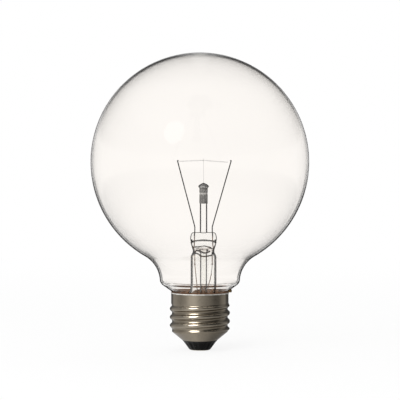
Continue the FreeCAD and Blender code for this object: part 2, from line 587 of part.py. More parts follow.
def add_side_solder():
    """Solder blob that sits on the rim and leans on the shoulder above the side lead."""
    blob = doc.addObject("Part::Ellipsoid", "solder_blob")
    blob.setExpression("Radius2", "Sizes.side_solder_width / 2")
    blob.setExpression("Radius3", "Sizes.side_solder_length / 2")
    blob.setExpression("Radius1", "Sizes.side_solder_height / 2")
    blob.setExpression("Placement.Base.x", "Sizes.skirt_diameter / 2 + Sizes.side_solder_offset")
    blob.setExpression("Placement.Base.z", "Sizes.rim_height + Sizes.side_solder_lift")
    below = doc.addObject("Part::Cylinder", "solder_seat")
    below.setExpression("Radius", "Sizes.globe_radius")
    below.setExpression("Height", "Sizes.rim_height")
    shoulder = doc.addObject("Part::Cone", "solder_shoulder")
    shoulder.setExpression("Radius1", "Sizes.throat_radius + Sizes.fit_clearance")
    shoulder.setExpression(
        "Radius2",
        "Sizes.throat_radius + Sizes.fit_clearance + Sizes.globe_radius * tan(Sizes.shoulder_angle)")
    shoulder.setExpression("Height", "Sizes.globe_radius")
    shoulder.setExpression("Placement.Base.z", "Sizes.throat_height")
    seats = doc.addObject("Part::Fuse", "solder_seats")
    seats.Base = below
    seats.Tool = shoulder
    solder = doc.addObject("Part::Cut", "side_solder")
    solder.Label = "side_solder"
    solder.Base = blob
    solder.Tool = seats
    doc.recompute()


def ring_wire(radius_x, radius_y, across, height):
    """Closed ellipse or circle at a height, as one section of the stem's glass."""
    middle = Vector(across, 0, height)
    if abs(radius_x - radius_y) < 1e-9:
        return Part.Wire(Part.Circle(middle, Vector(0, 0, 1), radius_x).toShape())
    if radius_x > radius_y:
        curve = Part.Ellipse(middle + Vector(radius_x, 0, 0), middle + Vector(0, radius_y, 0), middle)
    else:
        curve = Part.Ellipse(middle + Vector(0, radius_y, 0), middle + Vector(-radius_x, 0, 0), middle)
    return Part.Wire(curve.toShape())


def flare_skirt(inset):
    """Loft of the flared skirt, from the rim on the lamp's axis up to the tube on the stem's axis."""
    tube = size("flare_tube_diameter") / 2 - inset
    rim = size("throat_radius") - size("flare_wall") - inset
    low = size("neck_end_height")
    wires = []
    for share in FLARE_SHARES:
        spread = (1 - share) ** FLARE_POWER
        radius = tube + (rim - tube) * spread
        across = -size("stem_offset") * (1 - ease(share))
        wires.append(ring_wire(radius, radius, across, low + size("flare_length") * share))
    return Part.makeLoft(wires, True)


def press_loft():
    """Loft of the press: the tube flattens to a waist, swells to the creased ears and closes at the top."""
    tube = size("flare_tube_diameter") / 2
    waist_x = tube - size("press_waist_inset")
    waist_y = size("press_waist_depth") / 2
    ear_x = tube + size("press_ear")
    ear_y = size("press_depth") / 2
    top_x = tube - size("press_crown_inset")
    start = size("press_start_height")
    waist = size("press_waist_height")
    ridge = size("press_ridge_height")
    notch = size("press_notch_height")
    top = size("press_top_height")
    crease = size("press_notch_depth")
    lower = Part.makeLoft([
        ring_wire(tube, tube, 0, start),
        ring_wire((tube + waist_x) / 2, (tube + waist_y) / 2 + PRESS_SWELL_SHARE * (tube - waist_y), 0,
                  (start + waist) / 2),
        ring_wire(waist_x, waist_y, 0, waist),
        ring_wire((waist_x + ear_x) / 2, (waist_y + ear_y) / 2, 0, (waist + notch) / 2),
        ring_wire(ear_x - crease, ear_y - crease, 0, notch)], True)
    upper = Part.makeLoft([
        ring_wire(ear_x - crease, ear_y - crease, 0, notch),
        ring_wire(ear_x, ear_y, 0, ridge),
        ring_wire((ear_x + top_x) / 2 + CROWN_FULLNESS * (ear_x - top_x), ear_y * CROWN_DEPTH_SHARES[0], 0,
                  (ridge + 2 * top) / 3),
        ring_wire(top_x, ear_y * CROWN_DEPTH_SHARES[1], 0, top)], True)
    return lower.fuse(upper)


def tube_bore():
    """Bore of the flare tube: flared skirt, straight tube and the rounded end inside the press."""
    bore = size("flare_tube_diameter") / 2 - size("flare_wall")
    low = size("neck_end_height") + size("flare_length")
    dome = size("cavity_dome_height")
    start = size("press_start_height")
    straight = Part.makeCylinder(bore, start - low, Vector(0, 0, low))
    seat = size("exhaust_radius") + 4 * size("fit_clearance")
    end = Part.makeLoft([
        ring_wire(bore, bore, 0, start),
        ring_wire(DOME_WIDTH_SHARE * bore, DOME_WIDTH_SHARE * bore, 0, start + dome / 2),
        ring_wire((bore + seat) / 2, (bore + seat) / 2, 0, start + DOME_HEIGHT_SHARE * dome),
        ring_wire(seat, seat, 0, start + dome)], True)
    return straight.fuse([flare_skirt(size("flare_wall")), end])


def add_stem_flare():
    """Flare tube and press in one piece of glass, with the seats of the leads and of the arbor."""
    low = size("neck_end_height")
    rim = size("flare_rim_thickness")
    axis_x = -size("stem_offset")
    tube_low = low + size("flare_length")
    tube = Part.makeCylinder(
        size("flare_tube_diameter") / 2, size("press_start_height") - tube_low, Vector(0, 0, tube_low))
    rim_disc = Part.makeCylinder(size("throat_radius"), rim, Vector(axis_x, 0, low - rim))
    rim_hole = Part.makeCylinder(
        size("throat_radius") - 2 * size("flare_wall"), rim, Vector(axis_x, 0, low - rim))
    glass = rim_disc.fuse([flare_skirt(0.0), tube, press_loft()])
    seats = [rim_hole, tube_bore()]
    seat_low = size("rod_seat_height")
    seats.append(Part.makeCylinder(
        size("rod_radius") + size("fit_clearance"), size("rod_seat_depth"), Vector(0, 0, seat_low)))
    lead_hole = max(size("lead_diameter"), size("seal_wire_diameter")) / 2 + size("fit_clearance")
    hole_low = size("press_start_height") - size("flare_wall")
    for side in (-1, 1):
        seats.append(Part.makeCylinder(
            lead_hole, size("press_top_height") - hole_low, Vector(side * size("lead_x"), 0, hole_low)))
    stem = doc.addObject("Part::Feature", "stem_flare")
    stem.Label = "stem_flare"
    stem.Shape = glass.cut(seats).removeSplitter()
    stem.Placement.Base = Vector(size("stem_offset"), 0, 0)


def add_exhaust_tube():
    """Pump tube with its bore and its tapered, sealed tip."""
    add_turned(
        "exhaust_tube",
        [("exhaust_bore_radius", "cavity_top_height"), ("exhaust_radius", "cavity_top_height"),
         ("exhaust_radius", "exhaust_taper_height"), ("exhaust_nose_radius", "exhaust_tip_height"),
         ("0", "exhaust_tip_height"), ("0", "exhaust_bore_end"),
         ("exhaust_bore_radius", "exhaust_taper_height")],
        on_stem=True)


def add_glass_rod():
    """Arbor with the melted button on its top and the hole that holds the support wire."""
    add_turned(
        "glass_rod",
        [("0", "rod_seat_height"), ("rod_radius", "rod_seat_height"), ("rod_radius", "button_bottom_height"),
         ("button_shelf_radius", "button_bottom_height"), ("button_radius", "button_middle_height"),
         ("button_crown_radius", "button_top_height"), ("support_seat_radius", "button_top_height"),
         ("support_seat_radius", "support_seat_height"), ("0", "support_seat_height")],
        {3: ("button_round", 1), 4: ("button_round", 1)}, on_stem=True)


def add_getter_sleeve():
    """Grey sleeve round the top of the arbor, with a shallow groove."""
    add_turned(
        "getter_sleeve",
        [("sleeve_bore_radius", "sleeve_bottom_height"), ("sleeve_radius", "sleeve_bottom_height"),
         ("sleeve_radius", "sleeve_groove_bottom"), ("sleeve_groove_radius", "sleeve_groove_bottom"),
         ("sleeve_groove_radius", "sleeve_groove_top"), ("sleeve_radius", "sleeve_groove_top"),
         ("sleeve_radius", "sleeve_top_height"), ("sleeve_bore_radius", "sleeve_top_height")], on_stem=True)


def add_leads():
    """Inner leads, sealed wires with weld beads, fuse link and the two outer leads."""
    for side, mark in (("left", "-"), ("right", "")):
        add_wire("inner_lead_" + side, "lead_diameter",
                 [(mark + "lead_x", "lead_seat_height"), (mark + "lead_x", "knee_height"),
                  (mark + "tip_x", "tip_height"), (mark + "hook_crown_x", "hook_crown_height"),
                  (mark + "hook_x", "hook_height")])
        sealed = add_wire("seal_wire_" + side, "seal_wire_diameter",
                          [(mark + "lead_x", "seal_wire_top"), (mark + "lead_x", "weld_height")])
        add_ball(sealed, "weld_bead_diameter", mark + "lead_x", "weld_height")
    add_wire("outer_lead_left", "outer_lead_diameter",
             [("-lead_x", "lead_start_height"), ("-gather_x", "lead_gather_height"),
              ("-gather_x", "contact_lead_bend"), ("-contact_x", "contact_lead_low"),
              ("-contact_x", "contact_lead_end")])
    add_wire("fuse_wire", "fuse_diameter", [("lead_x", "lead_start_height"), ("fuse_x", "fuse_end_height")])
    add_wire("outer_lead_right", "outer_lead_diameter",
             [("fuse_x", "fused_lead_height"), ("gather_x", "lead_gather_height"),
              ("gather_x", "flare_rim_height"), ("side_lead_dip_x", "side_lead_dip_height"),
              ("side_lead_turn_x", "side_lead_low_height"), ("side_lead_x", "side_lead_turn_height"),
              ("side_lead_x", "throat_straight_height"), ("side_lead_end_x", "side_lead_top")])


def add_filament():
    """Filament as the outer form of its coil, from hook to hook over the support."""
    add_wire("filament", "filament_diameter",
             [("-filament_x", "filament_end_height"), ("0", "filament_middle_height"),
              ("filament_x", "filament_end_height")])


def add_support_wire():
    """Support wire from the button, with the loop that the filament passes through."""
    body = add_wire("support_wire", "support_diameter",
                    [("0", "support_seat_height"), ("0", "support_top_height")])
    loop = body.newObject("PartDesign::AdditiveTorus", "support_loop")
    loop.setExpression("Radius1", "Sizes.loop_radius")
    loop.setExpression("Radius2", "Sizes.support_diameter / 2")
    loop.Placement.Rotation = FreeCAD.Rotation(Vector(0, 1, 0), 90)
    loop.setExpression("Placement.Base.z", "Sizes.filament_middle_height")
    doc.recompute()


add_glass_globe()
add_cap_shell()
add_cap_insulator()
add_centre_contact()
add_centre_solder()
add_basing_cement()
add_side_solder()
add_stem_flare()
add_exhaust_tube()
add_glass_rod()
add_getter_sleeve()
add_leads()
add_filament()
add_support_wire()
doc.recompute()

NODES = [
    "glass_globe", "cap_shell", "cap_insulator", "centre_contact", "centre_solder", "basing_cement",
    "side_solder", "stem_flare", "exhaust_tube", "glass_rod", "getter_sleeve", "inner_lead_left",
    "inner_lead_right", "seal_wire_left", "seal_wire_right", "fuse_wire", "outer_lead_left",
    "outer_lead_right", "filament", "support_wire",
]


def write_parts():
    """Checks every object and writes each sub-part's solid to its own file."""
    for thing in doc.Objects:
        if "Invalid" in thing.State or "Error" in thing.State:
            raise RuntimeError("%s failed: %s" % (thing.Name, thing.State))
    os.makedirs("parts", exist_ok=True)
    for label in NODES:
        shape = doc.getObjectsByLabel(label)[0].Shape
        if shape.isNull() or not shape.isValid():
            raise RuntimeError("%s has no valid solid" % label)
        shape.exportStep("parts/%s.step" % label)
        box = shape.BoundBox
        print("%-18s solids %d volume %9.3f  x %.2f..%.2f  y %.2f..%.2f  z %.2f..%.2f" % (
            label, len(shape.Solids), shape.Volume,
            box.XMin, box.XMax, box.YMin, box.YMax, box.ZMin, box.ZMax))


write_parts()
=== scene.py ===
import math

import bpy
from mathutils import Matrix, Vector


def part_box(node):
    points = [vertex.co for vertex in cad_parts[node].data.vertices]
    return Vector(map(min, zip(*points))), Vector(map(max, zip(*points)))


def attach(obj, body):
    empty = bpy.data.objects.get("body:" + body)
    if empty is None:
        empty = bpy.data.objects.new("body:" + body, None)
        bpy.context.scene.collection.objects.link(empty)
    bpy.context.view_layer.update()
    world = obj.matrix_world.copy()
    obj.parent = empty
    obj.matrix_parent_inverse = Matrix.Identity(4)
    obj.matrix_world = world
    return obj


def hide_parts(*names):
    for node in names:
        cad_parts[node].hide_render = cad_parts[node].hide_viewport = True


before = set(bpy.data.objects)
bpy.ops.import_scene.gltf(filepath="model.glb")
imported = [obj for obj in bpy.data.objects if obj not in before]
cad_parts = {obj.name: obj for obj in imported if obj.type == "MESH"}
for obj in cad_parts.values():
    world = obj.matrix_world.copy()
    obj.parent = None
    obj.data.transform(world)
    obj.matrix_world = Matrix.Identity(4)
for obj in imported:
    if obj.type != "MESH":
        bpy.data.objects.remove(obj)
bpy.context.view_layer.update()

bl_info = {
    "name": "Globe lamp dresser",
    "version": (1, 0, 0),
    "blender": (4, 5, 0),
    "location": "3D View > Sidebar > Globe lamp",
    "description": "Dresses the packed globe lamp with its glass, cap, stem and wires",
    "category": "Object",
}

MM = 0.001
BODY = "root"

# Heights and places that the frame gives
GLOBE_LOW, GLOBE_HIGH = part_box("glass_globe")
CAP_LOW, CAP_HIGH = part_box("cap_shell")
STEM_LOW, STEM_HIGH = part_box("stem_flare")
TUBE_LOW, TUBE_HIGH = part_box("exhaust_tube")
SLEEVE_LOW, SLEEVE_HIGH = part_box("getter_sleeve")
INSULATOR_LOW, INSULATOR_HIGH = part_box("cap_insulator")
CEMENT_LOW, CEMENT_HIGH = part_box("basing_cement")
COIL_LOW, COIL_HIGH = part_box("filament")
STEM_X = (TUBE_LOW.x + TUBE_HIGH.x) / 2

# Sizes and levels of the dressing that no setting changes
THROAT_RADIUS = 11.0 * MM
INSULATOR_SIDES, FLUTES = 96, 16
# Matt colour of the painted shade on the edges of glass
EDGE_SHADE_PAINT = (0.012, 0.01, 0.009, 1)
CLEAR_SHADOW = (0.93, 0.93, 0.92, 1)
BOUNCES = 40

# Settings


def length_setting(name, description, default, precision=5):
    return bpy.props.FloatProperty(
        name=name, description=description, default=default, unit="LENGTH", precision=precision)


def angle_setting(name, description, degrees):
    return bpy.props.FloatProperty(
        name=name, description=description, default=math.radians(degrees), subtype="ANGLE")


def power_setting(name, description, default):
    return bpy.props.FloatProperty(name=name, description=description, default=default, subtype="POWER")


def colour_setting(name, description, default):
    return bpy.props.FloatVectorProperty(
        name=name, description=description, default=default, subtype="COLOR", size=3, min=0, max=1)


class LampGlassSettings(bpy.types.PropertyGroup):
    """Blown glass of the globe and its neck"""

    wall: length_setting("Wall", "Thickness of the blown glass", 0.7 * MM)
    neck_length: length_setting("Neck length", "Middle of the neck's hollow curve below the globe", 4.9 * MM)
    neck_radius: length_setting("Neck radius", "Smallest outside radius of the neck's curve", 17.4 * MM)
    waist_rise: length_setting("Waist rise", "Start of the shoulder above the middle of the neck's curve", 1.3 * MM)
    shoulder_radius: length_setting("Shoulder rounding", "Rounding between neck and cone", 3.2 * MM)
    shoulder_angle: angle_setting("Shoulder angle", "Slope of the cone from the axis", 55)
    throat_radius: length_setting("Throat radius", "Outside of the neck inside the cap", THROAT_RADIUS)
    throat_fillet: length_setting("Throat fillet", "Rounding between cone and throat", 1.2 * MM)
    ring_drop: length_setting("Ring drop", "Fine mould ring below the start of the shoulder", 1.2 * MM)
    ring_height: length_setting("Ring height", "How far the mould ring stands out", 0.05 * MM)
    tint: colour_setting("Tint", "Glass seen square on", (1.0, 0.982, 0.962))


class LampCapSettings(bpy.types.PropertyGroup):
    """Screw cap with insulator, contact, cement and solder"""

    nickel: colour_setting("Nickel", "Plated shell", (0.37, 0.325, 0.26))
    # Near white, so that the rim's matt share paints its highlight
    rim: colour_setting("Rim", "Polished bead of the shell's rim", (0.97, 0.95, 0.91))
    tarnish: colour_setting("Tarnish", "Dull film in the thread's roots", (0.27, 0.23, 0.175))
    insulator: colour_setting("Insulator", "Black moulded glass", (0.004, 0.004, 0.0035))
    cement: colour_setting("Cement", "Baked cement", (0.14, 0.068, 0.032))
    solder: colour_setting("Solder", "Dull solder", (0.55, 0.54, 0.52))
    flux: colour_setting("Flux", "Solder under amber flux", (0.50, 0.33, 0.13))
    contact: colour_setting("Contact", "Stamped contact", (0.66, 0.60, 0.48))
    insulator_rounding: length_setting("Insulator rounding", "Rounded edges of the moulded insulator", 0.22 * MM)


class LampStemSettings(bpy.types.PropertyGroup):
    """Flare tube, press, pump tube, arbor and sleeve"""

    tube_radius: length_setting("Tube radius", "Outside of the flare tube", 5.6 * MM)
    wall: length_setting("Wall", "Wall of the flare tube", 0.9 * MM)
    flare_length: length_setting("Flare length", "Height of the flared skirt", 8.0 * MM)
    press_length: length_setting("Press length", "Flattened end of the tube", 10.8 * MM)
    tint: colour_setting("Tint", "Stem glass seen square on", (0.985, 0.985, 0.975))
    melt_tint: colour_setting("Melt tint", "Glass round the sealed wires", (0.96, 0.92, 0.89))
    # The folds' glass carries heavy painted shade over this tint
    fold_tint: colour_setting("Fold tint", "Crinkled folds of the seal", (0.80, 0.60, 0.50))
    sleeve_grey: colour_setting("Sleeve", "Grey sleeve on the arbor", (0.165, 0.16, 0.155))
    stripe_grey: colour_setting("Stripe", "Pale stripe in the sleeve's groove", (0.42, 0.41, 0.40))


class LampWireSettings(bpy.types.PropertyGroup):
    """Leads, fuse, support and filament"""

    lead_radius: length_setting("Lead radius", "Inner lead wire", 0.25 * MM)
    outer_radius: length_setting("Outer lead radius", "Lead below the press", 0.18 * MM)
    support_radius: length_setting("Support radius", "Support wire", 0.05 * MM)
    coil_wire_radius: length_setting("Coil wire radius", "Wire of the filament's coil", 0.024 * MM, 6)
    coil_pitch: length_setting("Coil pitch", "Between two turns of the filament's coil", 0.2 * MM, 6)
    lead_metal: colour_setting("Lead metal", "Nickel-plated lead wire", (0.035, 0.034, 0.032))
    copper: colour_setting("Copper", "Copper-clad wire", (0.22, 0.12, 0.07))
    tungsten: colour_setting("Tungsten", "Filament and support", (0.42, 0.42, 0.42))


class LampStageSettings(bpy.types.PropertyGroup):
    """Camera, floor and studio light"""

    camera_distance: length_setting("Camera distance", "From the lamp's axis", 1.0)
    camera_height: length_setting("Camera height", "Above the floor", 0.105)
    aim_height: length_setting("Aim height", "Point on the axis in the middle of the picture", 0.0654)
    view_angle: angle_setting("View angle", "Across the picture", 9.94)
    floor_size: length_setting("Floor size", "Side of the floor", 8.0)
    key_power: power_setting("Key light", "Tall soft lamp at the front left", 11.5)
    top_power: power_setting("Top light", "Soft lamp above, on the left, for the metal", 6.0)
    glint_power: power_setting("Glint", "Faint soft lamp mirrored in the globe", 1.4)
    fill_power: power_setting("Back light", "Soft lamp above and behind", 2.5)


class LampSettings(bpy.types.PropertyGroup):
    """All settings of the lamp"""

    glass: bpy.props.PointerProperty(type=LampGlassSettings, name="Glass", description="Blown glass")
    cap: bpy.props.PointerProperty(type=LampCapSettings, name="Cap", description="Screw cap")
    stem: bpy.props.PointerProperty(type=LampStemSettings, name="Stem", description="Stem glass")
    wires: bpy.props.PointerProperty(type=LampWireSettings, name="Wires", description="Leads and filament")
    stage: bpy.props.PointerProperty(type=LampStageSettings, name="Stage", description="Camera and light")


# Working by hand: selecting, turning rings, bending wires


def edit_mode():
    bpy.ops.object.mode_set(mode="EDIT")


def edit_all():
    """Starts editing with the whole mesh selected."""
    edit_mode()
    bpy.ops.mesh.select_all(action="SELECT")


def object_mode():
    bpy.ops.object.mode_set(mode="OBJECT")


def select_only(*things):
    """Goes to object mode with just these objects selected, the last one active."""
    if bpy.context.object and bpy.context.object.mode != "OBJECT":
        object_mode()
    bpy.ops.object.select_all(action="DESELECT")
    for thing in things:
        thing.select_set(True)
        bpy.context.view_layer.objects.active = thing


def name_active(name):
    """Names the active object and its data alike."""
    thing = bpy.context.object
    thing.name = name
    thing.data.name = name
    return thing


def round_rings(outline, x=0.0):
    """Rings round an upright axis, from points (radius, height)."""
    return [(radius, radius, x, height) for radius, height in outline]


def steps_from(height, steps):
    """Points (radius, height) from steps of (radius, rise above a height) in millimetres."""
    return [(radius * MM, height + rise * MM) for radius, rise in steps]


def in_plane(*points):
    """Places in the lamp's middle plane from points (x, z) in millimetres."""
    return [(x * MM, 0, z * MM) for x, z in points]


def start_ring(name, ring, sides):
    """Adds a circle at a ring's place and leaves it selected in edit mode; a ring is (rx, ry, x, z)."""
    select_only()
    bpy.ops.mesh.primitive_circle_add(
        vertices=sides, radius=1.0, fill_type="NOTHING", location=(ring[2], 0, ring[3]))
    piece = name_active(name)
    piece.scale = (ring[0], ring[1], 1)
    bpy.ops.object.transform_apply()
    edit_all()
    return piece


def pull_ring(old, new):
    """Extrudes the selected loop from one ring to the next."""
    bpy.ops.mesh.extrude_region_move(
        TRANSFORM_OT_translate={"value": (new[2] - old[2], 0, new[3] - old[3])})
    bpy.ops.transform.resize(
        value=(new[0] / old[0], new[1] / old[1], 1), center_override=(new[2], 0, new[3]))


def pull_rings(rings):
    """Extrudes the selected loop through a row of rings."""
    for old, new in zip(rings, rings[1:]):
        pull_ring(old, new)


def hoop(name, rings, sides):
    """Draws a hoop through rings and back to the first one, and stays in edit mode."""
    piece = start_ring(name, rings[0], sides)
    pull_rings(rings + rings[:1])
    return piece


def close_ring():
    """Closes the selected loop to a pole."""
    bpy.ops.mesh.extrude_region_move(TRANSFORM_OT_translate={"value": (0, 0, 0)})
    bpy.ops.mesh.merge(type="CENTER")


def pick(piece, wanted):
    """Selects the vertices of a piece that a test wants, and no others, in edit mode."""
    select_only(piece)
    edit_mode()
    bpy.ops.mesh.select_mode(type="VERT")
    bpy.ops.mesh.select_all(action="DESELECT")
    object_mode()
    for vertex in piece.data.vertices:
        vertex.select = wanted(vertex)
    edit_mode()


def pick_ring(piece, ring):
    """Selects the vertices that lie on a ring's own ellipse."""
    def on_ring(vertex):
        across = ((vertex.co.x - ring[2]) / ring[0]) ** 2 + (vertex.co.y / ring[1]) ** 2
        return abs(across - 1) < 1e-3 and abs(vertex.co.z - ring[3]) < 1e-6

    pick(piece, on_ring)


def roughen(offset, seed):
    """Makes the selected vertices uneven, then smooths them a little."""
    bpy.ops.transform.vertex_random(offset=offset, uniform=0.0, normal=0.0, seed=seed)
    bpy.ops.mesh.vertices_smooth(factor=0.5, repeat=2)


def drawn_shell(name, bore, outside, sides, ruffle=None):
    """Draws a closed shell in one go, from the end of its bore over the rim and along the outside.

    A ruffle is (rings at the bore's end, how far, seed). The bore's faces get the second material."""
    piece = start_ring(name, bore[0], sides)
    pull_rings(bore + outside)
    close_ring()
    if ruffle:
        pick(piece, lambda vertex: vertex.index < ruffle[0] * sides)
        roughen(*ruffle[1:])
    pick(piece, lambda vertex: vertex.index < sides)
    close_ring()
    object_mode()
    for face in piece.data.polygons:
        in_bore = sum(number < len(bore) * sides for number in face.vertices)
        face.material_index = 1 if in_bore > 1 and in_bore >= len(face.vertices) - 1 else 0
    return piece


def finish_mesh(piece, angle=None):
    """Merges doubles, points the faces outwards and shades the piece smooth."""
    select_only(piece)
    edit_all()
    bpy.ops.mesh.remove_doubles(threshold=1e-6)
    bpy.ops.mesh.normals_make_consistent(inside=False)
    object_mode()
    if angle is None:
        bpy.ops.object.shade_smooth()
    else:
        bpy.ops.object.shade_smooth_by_angle(angle=angle)


def apply_modifier(piece, kind, **values):
    """Adds a modifier with its values and applies it."""
    select_only(piece)
    modifier = piece.modifiers.new(kind.title(), kind)
    for key, value in values.items():
        setattr(modifier, key, value)
    bpy.ops.object.modifier_apply(modifier=modifier.name)


def turned(name, rings, sides):
    """Builds a turned solid from rings, from the bottom up."""
    piece = start_ring(name, rings[0], sides)
    bpy.ops.mesh.edge_face_add()
    bpy.ops.mesh.inset(thickness=0.25 * min(rings[0][:2]))
    pick_ring(piece, rings[0])
    pull_rings(rings)
    close_ring()
    finish_mesh(piece)
    return piece


def bent_wire(name, corners, radius, bend):
    """Draws a line through corners, rounds them and gives the line a round section."""
    select_only()
    bpy.ops.mesh.primitive_plane_add(size=MM, location=corners[0])
    bpy.ops.object.transform_apply()
    edit_mode()
    bpy.ops.mesh.select_mode(type="VERT")
    bpy.ops.mesh.select_all(action="SELECT")
    bpy.ops.mesh.merge(type="CENTER")
    for old, new in zip(corners, corners[1:]):
        step = [b - a for a, b in zip(old, new)]
        bpy.ops.mesh.extrude_region_move(TRANSFORM_OT_translate={"value": step})
    pick(bpy.context.object, lambda vertex: 0 < vertex.index < len(corners) - 1)
    bpy.ops.mesh.bevel(offset=bend, segments=6, affect="VERTICES")
    object_mode()
    bpy.ops.object.convert(target="CURVE")
    curve = bpy.context.object.data
    curve.bevel_depth = radius
    curve.bevel_resolution = 3
    curve.use_fill_caps = True
    bpy.ops.object.convert(target="MESH")
    wire = name_active(name)
    finish_mesh(wire, math.radians(50))
    return wire


def settle(piece, node, material=None):
    """Makes a piece ride on the lamp, stand for a node and wear a material."""
    if material:
        piece.data.materials.clear()
        piece.data.materials.append(material)
    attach(piece, BODY)
    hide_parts(node)


def wear(node, material):
    """Gives a CAD node a better material."""
    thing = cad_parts[node]
    thing.data.materials.clear()
    thing.data.materials.append(material)


# Materials


class Nodes:
    """A material's or a world's node tree with short calls."""

    def __init__(self, owner, output):
        self.owner = owner
        self.owner.use_nodes = True
        self.tree = self.owner.node_tree
        self.tree.nodes.clear()
        self.output = self.add(output)

    @classmethod
    def material(cls, name):
        return cls(bpy.data.materials.new(name), "ShaderNodeOutputMaterial")

    def add(self, kind, **values):
        node = self.tree.nodes.new(kind)
        for key, value in values.items():
            if hasattr(node, key) and key not in node.inputs:
                setattr(node, key, value)
            else:
                node.inputs[key.replace("_", " ")].default_value = value
        return node

    def link(self, source, target):
        self.tree.links.new(source, target)

    def noise(self, scale, detail=4.0, roughness=0.5, stretch=(1, 1, 1)):
        """Noise in object coordinates, each way scaled by a stretch."""
        mapping = self.add("ShaderNodeMapping", Scale=stretch)
        self.link(self.add("ShaderNodeTexCoord").outputs["Object"], mapping.inputs["Vector"])
        node = self.add("ShaderNodeTexNoise", Scale=scale, Detail=detail, Roughness=roughness)
        self.link(mapping.outputs["Vector"], node.inputs["Vector"])
        return node.outputs["Fac"]

    def facing(self):
        """How far the surface is turned away, for the edges of glass."""
        return self.add("ShaderNodeLayerWeight", Blend=0.5).outputs["Facing"]

    def ramp(self, value, stops):
        """Colours (or grey levels) along a value."""
        node = self.add("ShaderNodeValToRGB")
        elements = node.color_ramp.elements
        while len(elements) > 1:
            elements.remove(elements[-1])
        for number, (position, colour) in enumerate(stops):
            element = elements[0] if number == 0 else elements.new(position)
            element.position = position
            colour = (colour,) * 3 if isinstance(colour, (int, float)) else tuple(colour)
            element.color = (*colour, 1)
        self.link(value, node.inputs["Fac"])
        return node.outputs["Color"]

    def mix(self, factor, first, second, blend="MIX"):
        """Mixes two colours, each a socket or a colour."""
        node = self.add("ShaderNodeMix", data_type="RGBA", blend_type=blend)
        self.plug(factor, node.inputs["Factor"])
        self.plug(first, node.inputs[6])
        self.plug(second, node.inputs[7])
        return node.outputs[2]

    def blend(self, factor, first, second):
        """Mixes two shaders."""
        node = self.add("ShaderNodeMixShader")
        for value, socket in zip((factor, first, second), node.inputs):
            self.link(value, socket)
        return node.outputs[0]

    def plug(self, value, socket):
        if isinstance(value, bpy.types.NodeSocket):
            self.link(value, socket)
        elif isinstance(value, (int, float)):
            socket.default_value = value
        else:
            socket.default_value = (*tuple(value)[:3], 1)

    def math(self, operation, first, second=0.0, third=0.0):
        node = self.add("ShaderNodeMath", operation=operation)
        for number, value in enumerate((first, second, third)):
            self.plug(value, node.inputs[number])
        return node.outputs[0]

    def spread(self, value, low, high, new_low=0.0, new_high=1.0):
        """Maps a value from one span to another, smoothly."""
        node = self.add("ShaderNodeMapRange", interpolation_type="SMOOTHSTEP",
                        From_Min=low, From_Max=high, To_Min=new_low, To_Max=new_high)
        self.plug(value, node.inputs["Value"])
        return node.outputs["Result"]

    def bump(self, height, strength, distance):
        node = self.add("ShaderNodeBump", Strength=strength, Distance=distance)
        self.link(height, node.inputs["Height"])
        return node.outputs["Normal"]

    def surface(self, **sockets):
        """Principled surface; each socket is a link or its own number."""
        shader = self.add("ShaderNodeBsdfPrincipled")
        for key, value in sockets.items():
            self.plug(value, shader.inputs[key.replace("_", " ")])
        self.link(shader.outputs["BSDF"], self.output.inputs["Surface"])
        return shader

    def parts(self, kind="Object"):
        """Coordinates as x, y and z."""
        node = self.add("ShaderNodeSeparateXYZ")
        self.link(self.add("ShaderNodeTexCoord").outputs[kind], node.inputs[0])
        return node.outputs

    def radius(self):
        """Distance from the lamp's axis."""
        x, y, _ = self.parts()
        return self.math("SQRT", self.math("ADD", self.math("MULTIPLY", x, x), self.math("MULTIPLY", y, y)))


def shade(colour, share):
    """A colour made darker or paler."""
    return [value * share for value in colour]


def glass_finish(name, tint, rows, ior, wave_scale):
    """Clear glass with painted shade: a dark matt share, mixed in by how far the surface turns away, stands in for the
    dark lines that glass refracts at its edges. It lets light through to the floor.

    Each row is (height, [(how far turned away, share of painted shade)]), from the bottom up; rows blend between
    heights."""
    nodes = Nodes.material(name)
    facing = nodes.facing()
    dark = nodes.ramp(facing, rows[0][1])
    for (low, _), (high, row) in zip(rows, rows[1:]):
        dark = nodes.mix(nodes.spread(nodes.parts()[2], low, high), dark, nodes.ramp(facing, row))
    haze = nodes.ramp(nodes.noise(60.0, 3.0, 0.6), [(0.35, tint), (0.75, shade(tint, 0.994))])
    waves = nodes.noise(wave_scale, 2.0, 0.4)
    shader = nodes.surface(
        Base_Color=haze, Roughness=0.0, IOR=ior, Transmission_Weight=1.0, Normal=nodes.bump(waves, 0.4, 0.02 * MM))
    wall = nodes.add("ShaderNodeBsdfDiffuse", Color=EDGE_SHADE_PAINT)
    clear = nodes.add("ShaderNodeBsdfTransparent", Color=CLEAR_SHADOW)
    # Painted shade: the dark matt share is mixed into the glass by how far the surface turns away
    with_painted_shade = nodes.blend(dark, shader.outputs["BSDF"], wall.outputs["BSDF"])
    shadow = nodes.add("ShaderNodeLightPath").outputs["Is Shadow Ray"]
    nodes.link(nodes.blend(shadow, with_painted_shade, clear.outputs["BSDF"]), nodes.output.inputs["Surface"])
    return nodes.owner


